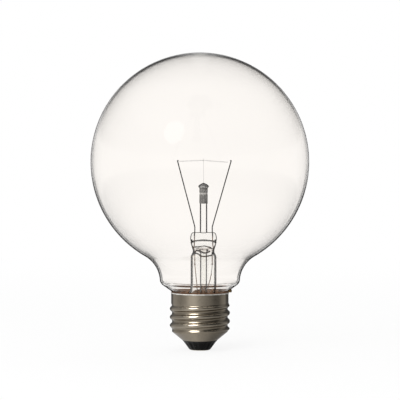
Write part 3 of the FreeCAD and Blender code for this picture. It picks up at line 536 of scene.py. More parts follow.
def nickel_finish(cap):
    """Plated shell: bright worn crests, dull roots, rolling marks round the axis and dark specks."""
    nodes = Nodes.material("nickel_shell")
    radius = nodes.radius()
    crest = nodes.spread(radius, 12.2 * MM, 12.95 * MM)
    cloud = nodes.noise(140.0, 5.0, 0.6)
    marks = nodes.noise(90.0, 6.0, 0.65, (1, 1, 30))
    worn = nodes.math("MULTIPLY_ADD", crest, 0.6, nodes.math("MULTIPLY", cloud, 0.5))
    between = [bright * 0.6 + dull * 0.4 for bright, dull in zip(cap.nickel, cap.tarnish)]
    film = nodes.ramp(worn, [(0.12, cap.tarnish), (0.42, between), (0.7, cap.nickel)])
    specks = nodes.ramp(nodes.noise(900.0, 2.0, 0.5), [(0.28, 0.72), (0.42, 1.0)])
    tone = nodes.mix(0.5, film, specks, "MULTIPLY")
    rough = nodes.math("MULTIPLY_ADD", marks, 0.09, nodes.spread(worn, 0.1, 0.8, 0.13, 0.07))
    nodes.surface(Base_Color=tone, Metallic=1.0, Roughness=rough, Normal=nodes.bump(marks, 0.22, 0.04 * MM))
    return nodes.owner


def metal_finish(name, colour, dark_share, roughness, scale, stretch=(1, 1, 1), metallic=1.0):
    """Worn metal with darker clouds and drawn marks; a metallic below one leaves a matt share, which on the rim paints
    its highlight.
    """
    nodes = Nodes.material(name)
    cloud = nodes.noise(scale, 5.0, 0.6, stretch)
    tone = nodes.ramp(cloud, [(0.3, shade(colour, dark_share)), (0.65, colour)])
    rough = nodes.spread(cloud, 0.2, 0.8, roughness * 1.25, roughness * 0.8)
    nodes.surface(Base_Color=tone, Metallic=metallic, Roughness=rough, Normal=nodes.bump(cloud, 0.3, 0.02 * MM))
    return nodes.owner


def insulator_finish(cap):
    """Glossy black moulded glass with faint swirls and dust."""
    nodes = Nodes.material("black_glass")
    swirl = nodes.noise(120.0, 4.0, 0.55)
    dust = nodes.ramp(nodes.noise(1600.0, 2.0, 0.5), [(0.7, cap.insulator), (0.82, (0.05, 0.048, 0.045))])
    rough = nodes.spread(swirl, 0.3, 0.75, 0.08, 0.2)
    nodes.surface(Base_Color=dust, Roughness=rough, IOR=1.2, Normal=nodes.bump(swirl, 0.25, 0.05 * MM))
    return nodes.owner


def cement_finish(cap):
    """Baked cement: rough, grainy, from orange-brown to dark."""
    nodes = Nodes.material("baked_cement")
    cloud = nodes.noise(180.0, 6.0, 0.65)
    grain = nodes.noise(1400.0, 3.0, 0.6)
    tone = nodes.ramp(cloud, [(0.3, shade(cap.cement, 0.35)), (0.5, cap.cement), (0.72, shade(cap.cement, 1.6))])
    height = nodes.math("ADD", cloud, nodes.math("MULTIPLY", grain, 0.4))
    nodes.surface(Base_Color=tone, Roughness=nodes.spread(grain, 0.2, 0.8, 0.7, 0.95),
                  Normal=nodes.bump(height, 0.7, 0.15 * MM))
    return nodes.owner


def sleeve_finish(stem):
    """Matt grey sleeve with a pale stripe and fine rings."""
    nodes = Nodes.material("sleeve_grey")
    _, _, height = nodes.parts()
    low = SLEEVE_LOW.z
    stripe = nodes.math("MULTIPLY", nodes.spread(height, low + 3.9 * MM, low + 4.1 * MM),
                        nodes.spread(height, low + 4.75 * MM, low + 4.6 * MM))
    rings = nodes.noise(120.0, 4.0, 0.6, (1, 1, 25))
    cloud = nodes.noise(700.0, 4.0, 0.6)
    mottle = nodes.math("MULTIPLY_ADD", rings, 0.6, nodes.math("MULTIPLY", cloud, 0.4))
    grey = nodes.ramp(mottle, [(0.3, shade(stem.sleeve_grey, 0.6)), (0.5, stem.sleeve_grey),
                               (0.7, shade(stem.sleeve_grey, 1.5))])
    nodes.surface(
        Base_Color=nodes.mix(stripe, grey, stem.stripe_grey), Metallic=0.15,
        Roughness=nodes.spread(cloud, 0.2, 0.8, 0.5, 0.75), Normal=nodes.bump(rings, 0.4, 0.05 * MM))
    return nodes.owner


def button_finish(stem):
    """Melted glass clouded by the wire in it: mottled grey, with painted shade darkening its rim where it turns away.
    """
    nodes = Nodes.material("clouded_button_glass")
    # Painted shade on the button's rim, by how far the surface turns away
    rim = nodes.ramp(nodes.facing(), [(0.2, 1.0), (0.45, 0.12), (1.0, 0.01)])
    cloud = nodes.noise(1100.0, 5.0, 0.65)
    mottle = nodes.ramp(cloud, [(0.36, shade(stem.tint, 0.06)), (0.5, shade(stem.tint, 0.4)), (0.64, stem.tint)])
    nodes.surface(
        Base_Color=nodes.mix(1.0, mottle, rim, "MULTIPLY"), Roughness=nodes.spread(cloud, 0.3, 0.7, 0.05, 0.3),
        IOR=1.5, Transmission_Weight=0.8, Normal=nodes.bump(cloud, 0.5, 0.1 * MM))
    return nodes.owner


# Pieces


def arc_points(middle, radius, start, end, steps):
    """Points along an arc in the (radius, height) plane, from one angle to another."""
    points = []
    for step in range(steps + 1):
        angle = start + (end - start) * step / steps
        points.append((middle[0] + radius * math.cos(angle), middle[1] + radius * math.sin(angle)))
    return points


def neck_outline(glass):
    """Outside of the glass below the globe: neck curve, shoulder with its mould ring, cone and throat."""
    globe = (GLOBE_HIGH.x - GLOBE_LOW.x) / 2
    middle = GLOBE_HIGH.z - globe
    drop = globe + glass.neck_length
    neck = glass.neck_radius
    blend = (drop ** 2 + neck ** 2 - globe ** 2) / (2 * (globe - neck))
    blend_height = middle - drop
    join = math.atan2(drop, -(neck + blend))
    waist = math.pi - math.asin(glass.waist_rise / blend)
    points = arc_points((neck + blend, blend_height), blend, join, waist, 18)
    waist_radius, waist_height = points[-1]
    shoulder = glass.shoulder_radius
    points += arc_points((waist_radius - shoulder, waist_height), shoulder, 0, -glass.shoulder_angle, 26)[1:]
    ring = waist_height - glass.ring_drop
    ring_span = 0.16 * MM
    points = [(radius + glass.ring_height * math.exp(-((height - ring) / ring_span) ** 2), height)
              for radius, height in points]
    cone_radius, cone_height = points[-1]
    slope = glass.shoulder_angle
    throat_height = cone_height - (cone_radius - glass.throat_radius) / math.tan(slope)
    run = glass.throat_fillet * math.tan(slope / 2)
    fillet = (glass.throat_radius + glass.throat_fillet, throat_height - run)
    points += arc_points(fillet, glass.throat_fillet, math.pi - slope, math.pi, 6)
    points.append((glass.throat_radius, GLOBE_LOW.z))
    return middle, globe, points


# Painted shade on the globe's glass: dark edge lines at the neck and lower globe, fainter ones above its middle and a
# soft grey growing towards the top, as (height, (how far turned away, share of painted shade))
NECK_EDGE = ((0.72, 0.0), (0.78, 0.93), (1.0, 0.98))
GLOBE_PAINTED_SHADE = (
    (0.027, ((0.76, 0.0), (0.82, 0.93), (1.0, 0.98))),
    (0.0305, NECK_EDGE),
    (0.034, NECK_EDGE),
    (0.046, ((0.2, 0.0), (0.4, 0.005), (0.5, 0.008), (0.6, 0.018), (0.68, 0.03), (0.82, 0.05), (0.86, 0.85),
             (1.0, 0.95))),
    (0.064, ((0.82, 0.0), (0.86, 0.85), (1.0, 0.95))),
    (0.082, ((0.8, 0.0), (0.86, 0.12), (0.92, 0.2), (1.0, 0.22))),
    (0.112, ((0.2, 0.0), (0.4, 0.006), (0.5, 0.0125), (0.6, 0.024), (0.68, 0.038), (0.82, 0.05), (0.88, 0.16),
             (1.0, 0.32))),
    (0.122, ((0.15, 0.0), (0.3, 0.007), (0.5, 0.0265), (0.58, 0.038), (0.67, 0.07), (0.82, 0.09), (0.88, 0.3),
             (1.0, 0.45))))


class LAMP_OT_glass_globe(bpy.types.Operator):
    """Blow the globe: a sphere cut open below, its edge drawn down to neck, shoulder and throat, and walled"""

    bl_idname = "globe_lamp.glass_globe"
    bl_label = "Glass globe"

    def execute(self, context):
        glass = context.scene.globe_lamp.glass
        middle, globe, outline = neck_outline(glass)
        select_only()
        bpy.ops.mesh.primitive_uv_sphere_add(segments=200, ring_count=150, radius=globe, location=(0, 0, middle))
        piece = name_active("blown_globe")
        bpy.ops.object.transform_apply()
        edit_all()
        bpy.ops.mesh.bisect(
            plane_co=(0, 0, outline[0][1]), plane_no=(0, 0, 1), clear_inner=True, clear_outer=False, use_fill=False)
        rings = round_rings(outline)
        pick_ring(piece, rings[0])
        pull_rings(rings)
        finish_mesh(piece)
        apply_modifier(piece, "SOLIDIFY", thickness=glass.wall, offset=-1.0, use_even_offset=True)
        select_only(piece)
        bpy.ops.object.shade_smooth_by_angle(angle=math.radians(60))
        finish = glass_finish("clear_blown_glass", glass.tint, GLOBE_PAINTED_SHADE, 1.25, 22.0)
        settle(piece, "glass_globe", finish)
        return {"FINISHED"}


class LAMP_OT_screw_cap(bpy.types.Operator):
    """Dress the cap: plated shell, moulded insulator, contact and its solder"""

    bl_idname = "globe_lamp.screw_cap"
    bl_label = "Screw cap"

    def execute(self, context):
        cap = context.scene.globe_lamp.cap
        wear("cap_shell", nickel_finish(cap))
        wear("centre_contact", metal_finish("contact_metal", cap.contact, 0.6, 0.3, 220.0))
        wear("centre_solder", metal_finish("centre_solder_metal", cap.solder, 0.55, 0.4, 500.0))
        self.mould_insulator(cap)
        return {"FINISHED"}

    def mould_insulator(self, cap):
        """Plug inside the shell, lip, fluted cone and the contact's seat, in one hoop round the eyelet's hole."""
        low, lip, top = INSULATOR_LOW.z, CAP_LOW.z, INSULATOR_HIGH.z
        base, edge = 4.55 * MM, 7.58 * MM
        seat, seat_top, hole = 4.22 * MM, 0.6 * MM, 1.52 * MM
        plug, plug_low, waist = 11.8 * MM, 8.0 * MM, 7.4 * MM
        soft = cap.insulator_rounding
        drop = lip - low
        slope = (edge - base) / drop
        outline = [(hole, top), (11.0 * MM, top), (plug, top - 0.5 * MM), (plug, plug_low), (waist, lip + 0.02 * MM),
                   (waist, lip), (edge, lip), (edge - 0.1 * soft, lip - soft)]
        outline += [(edge - slope * share * drop, lip - share * drop) for share in (0.15, 0.35, 0.6, 0.85)]
        outline += [(base + 0.1 * soft, low + 0.3 * soft), (base - 0.4 * soft, low), (seat, low), (seat, seat_top),
                    (hole, seat_top)]
        piece = hoop("moulded_insulator", round_rings(outline), INSULATOR_SIDES)
        self.press_flutes(piece, base, lip, edge)
        finish_mesh(piece, math.radians(25))
        settle(piece, "cap_insulator", insulator_finish(cap))

    def press_flutes(self, piece, base, lip, edge):
        """Presses shallow flutes into the cone below the lip, each three columns wide."""
        def in_flute(vertex):
            turn = math.degrees(math.atan2(vertex.co.y, vertex.co.x))
            column = round(turn * INSULATOR_SIDES / 360) % (INSULATOR_SIDES // FLUTES)
            radius = math.hypot(vertex.co.x, vertex.co.y)
            return column in (2, 3, 4) and vertex.co.z < lip - 0.3 * MM and base * 0.99 < radius < edge

        pick(piece, in_flute)
        bpy.ops.transform.resize(value=(0.965, 0.965, 1), center_override=(0, 0, 0))
        object_mode()


class LAMP_OT_basing(bpy.types.Operator):
    """Fill the gap at the rim with cement, roll the rim and put the side solder on it"""

    bl_idname = "globe_lamp.basing"
    bl_label = "Cement and side solder"

    def execute(self, context):
        cap = context.scene.globe_lamp.cap
        self.squeeze_cement(cap)
        self.roll_rim(cap)
        wear("side_solder", metal_finish("fluxed_solder", cap.flux, 0.45, 0.35, 420.0))
        return {"FINISHED"}

    def squeeze_cement(self, cap):
        """Cement in the gap between throat and shell, squeezed up the glass a little above the rim."""
        low, high = CEMENT_LOW.z, CEMENT_HIGH.z
        inner, outer = 11.02 * MM, 12.2 * MM
        outline = [(inner, low), (outer, low), (outer, high - 0.1 * MM)]
        outline += steps_from(high, (
            (12.24, 0.14), (12.34, 0.3), (12.46, 0.52), (12.42, 0.58), (12.1, 0.36), (11.6, 0.01)))
        outline += [(inner + 0.05 * MM, high - 0.8 * MM), (inner, high - 1.2 * MM)]
        piece = hoop("cement_ring", round_rings(outline), 180)
        for behind in (-10, -4, 2, 7):
            pick(piece, lambda vertex: vertex.co.z > high + 0.45 * MM and vertex.co.y > behind * MM)
            bpy.ops.transform.resize(value=(1.0095, 1.0095, 1), center_override=(0, 0, 0))
            bpy.ops.transform.translate(value=(0, 0, 0.085 * MM))
        roughen(0.08 * MM, 3)
        finish_mesh(piece, math.radians(40))
        settle(piece, "basing_cement", cement_finish(cap))

    def roll_rim(self, cap):
        """The shell's edge, rolled to a fine bead, near white and partly matt so that its highlight is painted."""
        across, bead = 12.42 * MM, 0.25 * MM
        outline = arc_points((across, CAP_HIGH.z - bead), bead, -math.pi / 2, 3 * math.pi / 2, 12)[:-1]
        piece = hoop("rolled_rim", round_rings(outline), 160)
        finish_mesh(piece)
        # Painted highlight: near-white colour with a large matt share, lit by the lamps
        piece.data.materials.append(metal_finish("rim_painted_highlight", cap.rim, 0.3, 0.45, 420.0, metallic=0.3))
        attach(piece, BODY)


def press_sections(stem):
    """Outside of the press from the tube to its top, as (half width, half depth, height above its start)."""
    tube = stem.tube_radius / MM
    drawn_length = 10.8
    rise = stem.press_length / MM / drawn_length
    shape = [(tube, tube, 0.0), (0.975 * tube, 0.965 * tube, 0.6), (0.915 * tube, 0.92 * tube, 1.35),
             (0.85 * tube, 0.84 * tube, 2.0), (4.65, 4.2, 2.7), (4.85, 3.6, 3.6), (5.22, 3.0, 4.8),
             (5.5, 2.5, 5.8), (5.66, 2.35, 6.5), (5.56, 1.8, 6.85), (5.7, 2.2, 7.25), (5.8, 2.2, 8.1),
             (5.74, 2.12, 8.8), (5.55, 2.04, 9.7), (5.2, 1.88, 10.4), (4.85, 1.7, 10.7), (4.4, 1.4, drawn_length)]
    return [(wide * MM, deep * MM, high * rise * MM) for wide, deep, high in shape]


class LAMP_OT_stem_glass(bpy.types.Operator):
    """Draw the stem: flared skirt, tube and pressed end outside, bore with its melted end inside"""

    bl_idname = "globe_lamp.stem_glass"
    bl_label = "Stem glass"

    def execute(self, context):
        stem = context.scene.globe_lamp.stem
        start = STEM_HIGH.z - stem.press_length
        # Painted shade on the press by height: dark edges, and a wider dark line in the jaws' groove
        edge = [(0.3, 0.0), (0.4, 0.9), (1.0, 0.98)]
        groove = [(0.14, 0.0), (0.26, 0.85), (1.0, 0.98)]
        heights = ((5.8, edge), (6.4, groove), (7.6, groove), (8.0, edge))
        press_rows = [(start + rise * MM, row) for rise, row in heights]
        # The folds' glass is mostly painted shade, standing in for the dark lines of the crinkled seal
        tube, bore, press, melt, folds, pump = [
            glass_finish(name, tint, rows, ior, waves) for name, tint, rows, ior, waves in (
                ("stem_glass", stem.tint, [(0, [(0.4, 0.0), (0.48, 0.8), (1.0, 0.95)])], 1.35, 200.0),
                ("stem_bore_glass", stem.tint, [(0, [(0.8, 0.0), (0.92, 0.6), (1.0, 0.8)])], 1.35, 200.0),
                ("press_glass", stem.tint, press_rows, 1.35, 260.0),
                ("melted_seal_glass", stem.melt_tint, [(0, [(0.9, 0.0), (1.0, 0.3)])], 1.06, 500.0),
                ("fold_glass_painted_shade", stem.fold_tint, [(0, [(0.0, 0.55), (0.2, 0.93), (1.0, 0.99)])], 1.35, 500.0),
                ("pump_tube_glass", stem.tint, [(0, [(0.2, 0.0), (0.25, 0.1), (0.3, 0.85), (1.0, 0.95)])],
                 1.35, 300.0))]
        flare = self.draw_flare(stem, start, (tube, bore, press, melt, folds))
        settle(flare, "stem_flare")
        settle(self.draw_pump_tube(start, (pump, bore)), "exhaust_tube")
        return {"FINISHED"}

    def skirt(self, stem, inset):
        """Rings of the flared skirt, from its rim up to the tube."""
        low = GLOBE_LOW.z
        rim = THROAT_RADIUS - stem.wall
        rings = []
        for share in (0.0, 0.08, 0.18, 0.3, 0.45, 0.6, 0.75, 0.9, 1.0):
            radius = stem.tube_radius + (rim - stem.tube_radius) * (1 - share) ** 3 - inset
            across = STEM_X * share * share * (3 - 2 * share)
            rings.append((radius, radius, across, low + share * stem.flare_length))
        return rings

    def draw_flare(self, stem, start, finishes):
        """Skirt, tube and press with the bore that ends melted in the press.

        The finishes are those of tube, bore, press, melted end and folds."""
        press_from, melt_from = start + 1.2 * MM, start + 2.4 * MM
        rim = THROAT_RADIUS
        outside = [(rim, rim, 0, STEM_LOW.z), (rim, rim, 0, GLOBE_LOW.z)] + self.skirt(stem, 0.0)
        outside += [(wide, deep, STEM_X, start + high) for wide, deep, high in press_sections(stem)]
        radius = stem.tube_radius - stem.wall
        hole = rim - 2 * stem.wall
        bore = [(hole, hole, 0, STEM_LOW.z)] + self.skirt(stem, stem.wall)
        bore += [(wide * radius, deep * radius, STEM_X, start + high * MM) for wide, deep, high in (
            (1.0, 1.0, 0.0), (0.95, 0.94, 0.8), (0.88, 0.87, 1.5), (0.83, 0.79, 2.1), (0.80, 0.70, 2.7),
            (0.79, 0.60, 3.2), (0.74, 0.50, 3.55), (0.62, 0.38, 3.6), (0.48, 0.30, 3.45), (0.34, 0.24, 3.2),
            (0.2, 0.16, 3.1))]
        piece = drawn_shell("pressed_stem", bore[::-1], outside, 72, (6, 0.8 * MM, 7))
        for finish in finishes:
            piece.data.materials.append(finish)
        for face in piece.data.polygons:
            if face.material_index == 0 and face.center.z > press_from:
                face.material_index = 2
            elif face.material_index == 1 and face.center.z > melt_from:
                face.material_index = 3
        self.scoop_notch(piece, start)
        finish_mesh(piece, math.radians(60))
        folds = self.melt_folds(stem, start)
        for fold in folds:
            for finish in finishes:
                fold.data.materials.append(finish)
            for face in fold.data.polygons:
                face.material_index = 4
        select_only(*folds, piece)
        bpy.ops.object.join()
        return piece

    def scoop_notch(self, piece, start):
        """Lifts the jaws' groove at the front to a flat arc; at the back it stays level."""
        for half in (4.4, 3.7, 2.9, 1.8):
            pick(piece, lambda vertex: abs(vertex.co.x - STEM_X) < half * MM
                 and -2.6 * MM < vertex.co.y < -0.1 * MM and 6.3 * MM < vertex.co.z - start < 8.0 * MM)
            bpy.ops.transform.translate(value=(0, 0, 0.19 * MM))
        object_mode()

    def skin_depth(self, stem, across, height):
        """Half depth of the press at a place across it and above its start."""
        sections = press_sections(stem)
        below, above = next(pair for pair in zip(sections, sections[1:]) if height <= pair[1][2])
        share = (height - below[2]) / (above[2] - below[2])
        wide, deep = (low + (high - low) * share for low, high in zip(below[:2], above[:2]))
        return deep * math.sqrt(max(0.0, 1 - (across / wide) ** 2))

    def melt_folds(self, stem, start):
        """Crinkled folds where tube, pump tube and wires are melted together, under the press's skin; their glass is
        mostly painted shade.
        """
        folds = []
        for name, radius, side, line in (
                ("fold_top", 0.27, 0.75, (
                    (-4.1, 4.15), (-3.0, 4.1), (-2.0, 3.8), (-0.7, 3.95), (0.35, 4.2), (1.6, 3.8), (2.5, 3.7),
                    (3.2, 3.1), (4.0, 2.85), (4.4, 3.4))),
                ("fold_middle", 0.36, -0.78, (
                    (-4.3, 2.45), (-3.8, 1.8), (-3.0, 3.1), (-2.0, 2.8), (-0.9, 2.45), (-0.2, 2.0), (0.9, 1.9),
                    (1.8, 2.2), (2.7, 2.7))),
                ("fold_bottom", 0.28, -0.84, (
                    (-4.2, 2.2), (-3.2, 1.8), (-2.0, 1.45), (-1.4, 0.75), (0.0, 0.5), (1.4, 0.65), (2.3, 0.75),
                    (3.4, 0.95), (4.1, 1.7), (4.4, 2.2)))):
            corners = [(STEM_X + x * MM, side * self.skin_depth(stem, x * MM, z * MM), start + z * MM)
                       for x, z in line]
            folds.append(bent_wire(name, corners, radius * MM, 0.25 * MM))
        return folds

    def draw_pump_tube(self, start, finishes):
        """Narrow tube from the press down into the cap, drawn off to a closed tip; finishes of tube and bore."""
        top, tip = start + 2.9 * MM, TUBE_LOW.z
        outside = steps_from(top, ((1.9, 0.0), (1.62, -0.8), (1.5, -1.6)))
        outside += steps_from(tip, ((1.5, 2.8), (1.42, 2.0), (1.2, 1.2), (0.85, 0.4), (0.5, 0.05)))
        bore = steps_from(tip, ((0.2, 1.4), (0.5, 1.9), (0.8, 3.2))) + steps_from(top, ((0.8, -1.2), (1.0, 0.0)))
        piece = drawn_shell("pump_tube", round_rings(bore, STEM_X), round_rings(outside, STEM_X), 40)
        for finish in finishes:
            piece.data.materials.append(finish)
        finish_mesh(piece, math.radians(60))
        return piece


class LAMP_OT_arbor(bpy.types.Operator):
    """Set the arbor with its melted button and the grey sleeve"""

    bl_idname = "globe_lamp.arbor"
    bl_label = "Arbor and sleeve"

    def execute(self, context):
        stem = context.scene.globe_lamp.stem
        self.draw_rod(stem)
        self.slide_sleeve(stem)
        return {"FINISHED"}

    def draw_rod(self, stem):
        """Rod from its seat in the press to the button, which rests on the sleeve."""
        shelf = SLEEVE_HIGH.z + 0.02 * MM
        foot = STEM_HIGH.z - 0.3 * MM
        outline = steps_from(foot, ((1.7, 0.0), (1.62, 0.5), (1.6, 1.2)))
        outline += steps_from(shelf, (
            (1.6, -4.0), (1.6, -0.05), (1.75, 0.0), (2.1, 0.1), (2.3, 0.3), (2.38, 0.55), (2.3, 0.85), (2.05, 1.15),
            (1.65, 1.45), (1.2, 1.7), (0.8, 1.92), (0.4, 2.1), (0.15, 2.18)))
        rod = turned("arbor_rod", round_rings(outline, STEM_X), 48)
        self.dent_button(rod, shelf)
        # Painted shade on the rod's edges, by how far the surface turns away
        edge = [(0.17, 0.0), (0.25, 0.3), (0.28, 0.97), (1.0, 0.98)]
        finish = glass_finish("arbor_glass", stem.tint, [(0, edge)], 1.5, 300.0)
        settle(rod, "glass_rod", finish)
        rod.data.materials.append(button_finish(stem))
        for face in rod.data.polygons:
            face.material_index = 1 if face.center.z > shelf - 0.02 * MM else 0

    def dent_button(self, rod, shelf):
        """Leaves the button a little uneven, as it was melted."""
        pick(rod, lambda vertex: shelf + 0.3 * MM < vertex.co.z < shelf + 2.0 * MM)
        roughen(0.12 * MM, 5)
        object_mode()

    def slide_sleeve(self, stem):
        """Thin sleeve with a fine ring low on it and a groove for the stripe."""
        low, high = SLEEVE_LOW.z, SLEEVE_HIGH.z
        bore, outer = 1.62 * MM, 1.825 * MM
        groove = outer - 0.1 * MM
        bottom, top = low + 4.0 * MM, low + 4.8 * MM
        soft = 0.06 * MM
        outline = [(bore, low), (outer - soft, low), (outer, low + soft), (outer, low + 0.5 * MM),
                   (outer - 0.04 * MM, low + 0.55 * MM), (outer, low + 0.6 * MM), (outer, bottom - soft),
                   (groove, bottom), (groove, top), (outer, top + soft), (outer, high - soft), (outer - soft, high),
                   (bore, high)]
        sleeve = hoop("grey_sleeve", round_rings(outline, STEM_X), 48)
        finish_mesh(sleeve, math.radians(40))
        settle(sleeve, "getter_sleeve", sleeve_finish(stem))


class LAMP_OT_lead_wires(bpy.types.Operator):
    """Bend the leads from the hooks down to the cap"""

    bl_idname = "globe_lamp.lead_wires"
    bl_label = "Lead wires"

    def execute(self, context):
        wires = context.scene.globe_lamp.wires
        drawn = metal_finish("lead_metal", wires.lead_metal, 0.55, 0.35, 260.0, (1, 1, 0.15))
        copper = metal_finish("copper_wire", wires.copper, 0.45, 0.4, 300.0, (1, 1, 0.2))
        for side, way in (("left", -1), ("right", 1)):
            node = "inner_lead_" + side
            low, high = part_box(node)
            foot = STEM_X + way * 3.8 * MM
            tip = STEM_X + way * 11.7 * MM + 0.35 * MM
            height = high.z - 1.0 * MM
            corners = [(foot, 0, low.z), (foot, 0, low.z + 3.9 * MM), (tip, 0, height),
                       (tip - way * 0.25 * MM, 0, height + 0.02 * MM), (tip - way * 0.45 * MM, 0, height - 0.2 * MM)]
            lead = bent_wire("lead_" + side, corners, wires.lead_radius, 0.18 * MM)
            settle(lead, node, drawn)
        for node in ("seal_wire_left", "seal_wire_right"):
            wear(node, copper)
        low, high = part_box("outer_lead_left")
        corners = [(low.x + wires.outer_radius, 0, high.z),
                   *in_plane((-1.2, 27.2), (-0.5, 20.0), (-0.33, 12.5), (0, 6.1)), (0, 0, low.z)]
        lead = bent_wire("contact_lead", corners, wires.outer_radius, 0.8 * MM)
        settle(lead, "outer_lead_left", copper)
        low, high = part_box("outer_lead_right")
        corners = [(5.025 * MM, 0, high.z), *in_plane((4.3, 30.0), (3.53, 27.41), (3.53, 19.91), (5.73, 18.7)),
                   (9.8 * MM, 0, low.z + wires.outer_radius), *in_plane((11.4, 17.8), (11.4, 24.1), (11.96, 25.0))]
        lead = bent_wire("rim_lead", corners, wires.outer_radius, 0.5 * MM)
        settle(lead, "outer_lead_right", copper)
        wear("fuse_wire", drawn)
        return {"FINISHED"}


class LAMP_OT_filament(bpy.types.Operator):
    """Wind the filament in two spans and hang it on the support's loop"""

    bl_idname = "globe_lamp.filament"
    bl_label = "Filament and support"

    def execute(self, context):
        wires = context.scene.globe_lamp.wires
        metal = metal_finish("tungsten_wire", wires.tungsten, 0.6, 0.35, 600.0)
        middle = Vector((STEM_X, 0, COIL_HIGH.z - 0.28 * MM))
        ends = [Vector((COIL_LOW.x, 0, COIL_LOW.z + 0.28 * MM)), Vector((COIL_HIGH.x, 0, COIL_LOW.z - 0.1 * MM))]
        spans = [self.wind(wires, "coil_span_%d" % number, middle, end) for number, end in enumerate(ends)]
        select_only(*spans)
        bpy.ops.object.join()
        settle(name_active("filament_coil"), "filament", metal)
        settle(self.bend_support(wires, middle), "support_wire", metal)
        return {"FINISHED"}

    def bend_support(self, wires, middle):
        """Thin wire from the button up to a loop round the coil."""
        low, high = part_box("support_wire")
        turn = (high.z - middle.z) - wires.support_radius
        corners = [(STEM_X, 0, height) for height in (low.z, (low.z + middle.z) / 2, middle.z - turn)]
        corners += [(STEM_X, turn * math.sin(step * math.pi / 6), middle.z - turn * math.cos(step * math.pi / 6))
                    for step in range(1, 12)]
        return bent_wire("support_with_loop", corners, wires.support_radius, 0.05 * MM)

    def wind(self, wires, name, start, end):
        """Winds one span of the coil from a wire's round section."""
        way = end - start
        radius = 0.2 * MM - wires.coil_wire_radius
        turns = round(way.length / wires.coil_pitch)
        select_only()
        bpy.ops.mesh.primitive_circle_add(
            vertices=6, radius=wires.coil_wire_radius, fill_type="NOTHING", location=(radius, 0, 0),
            rotation=(math.pi / 2, 0, 0))
        span = bpy.context.object
        span.name = name
        bpy.ops.object.transform_apply()
        apply_modifier(span, "SCREW", axis="Z", angle=2 * math.pi, screw_offset=way.length / turns, iterations=turns,
                       steps=10, render_steps=10, use_merge_vertices=False)
        span.rotation_mode = "QUATERNION"
        span.rotation_quaternion = way.to_track_quat("Z", "Y")
        span.location = start
        bpy.ops.object.transform_apply()
        edit_all()
        bpy.ops.mesh.fill_holes(sides=8)
        finish_mesh(span)
        return span


# Stage


# What metal sees round the lamp, as levels by turn from behind over the left, the camera's side and the right
LOW_WALL = (
    (0.0, 0.02), (0.1, 0.03), (0.125, 0.38), (0.167, 0.55), (0.222, 0.5), (0.278, 0.4), (0.333, 0.55), (0.389, 0.95),
    (0.444, 1.0), (0.5, 0.62), (0.556, 0.43), (0.611, 0.3), (0.667, 0.13), (0.722, 0.13), (0.778, 0.36), (0.833, 0.42),
    (0.86, 0.1), (0.89, 0.03), (1.0, 0.02))
HIGH_WALL = (
    (0.008, 0.7), (0.015, 0.1), (0.056, 0.15), (0.111, 0.3), (0.167, 0.45), (0.278, 0.47), (0.333, 0.7),
    (0.389, 0.8), (0.444, 0.7), (0.5, 0.6), (0.54, 0.22), (0.6, 0.1), (0.667, 0.06), (0.722, 0.07), (0.778, 0.25),
    (0.833, 0.33), (0.889, 0.1), (0.95, 0.08), (0.985, 0.1), (0.992, 0.7))
# Painted shade and reflection round the lamp's foot that metal sees in the floor, as levels by turn
FOOT_PAINTED_SHADE = (
    (0.0, 0.5), (0.2, 0.55), (0.35, 0.75), (0.44, 0.9), (0.52, 0.6), (0.66, 0.25), (0.8, 0.2), (0.92, 0.4), (1.0, 0.5))
CEILING = ((0.35, 0.6), (0.5, 0.45), (0.6, 0.15), (0.9, 0.2))
# What glass sees through itself, as levels by height
BACKDROP = ((0.0, 1.0), (0.11, 1.0), (0.17, 0.25), (0.24, 0.04), (0.42, 0.06), (0.62, 0.6), (1.0, 0.65))
WHITE = (1.0, 1.0, 1.0)


def studio_turn(nodes, across, away):
    """How far round a way looks, from 0 behind by the left to 1 behind by the right."""
    angle = nodes.math("ARCTAN2", across, nodes.math("MULTIPLY", away, -1.0))
    return nodes.math("MULTIPLY_ADD", angle, 0.5 / math.pi, 0.5)


def studio_light():
    """White backdrop to the camera; glass sees it low all round, and metal sees the studio's walls and ceiling."""
    world = bpy.data.worlds.new("studio")
    bpy.context.scene.world = world
    world.cycles.sampling_method = "NONE"
    nodes = Nodes(world, "ShaderNodeOutputWorld")
    across, away, up = nodes.parts("Generated")
    strip = nodes.math("MULTIPLY", nodes.spread(nodes.math("ABSOLUTE", across), 0.01, 0.028, 1.0, 0.0),
                       nodes.spread(away, 0.5, 0.7))
    strip = nodes.math("MULTIPLY", strip, nodes.spread(up, 0.08, 0.12))
    through = nodes.mix(strip, nodes.ramp(up, BACKDROP), (0.5, 0.5, 0.48))
    turn = studio_turn(nodes, across, away)
    walls = nodes.mix(nodes.spread(up, 0.0, 0.1), nodes.ramp(turn, LOW_WALL), nodes.ramp(turn, HIGH_WALL))
    ceiling = nodes.ramp(nodes.math("MULTIPLY_ADD", across, 0.5, 0.5), CEILING)
    walls = nodes.mix(nodes.spread(up, 0.75, 0.95), walls, ceiling)
    path = nodes.add("ShaderNodeLightPath")
    light = nodes.mix(path.outputs["Is Glossy Ray"], (0.5, 0.5, 0.5), walls)
    light = nodes.mix(path.outputs["Is Transmission Ray"], light, through)
    light = nodes.mix(path.outputs["Is Camera Ray"], light, WHITE)
    background = nodes.add("ShaderNodeBackground")
    nodes.link(light, background.inputs["Color"])
    nodes.link(background.outputs[0], nodes.output.inputs["Surface"])


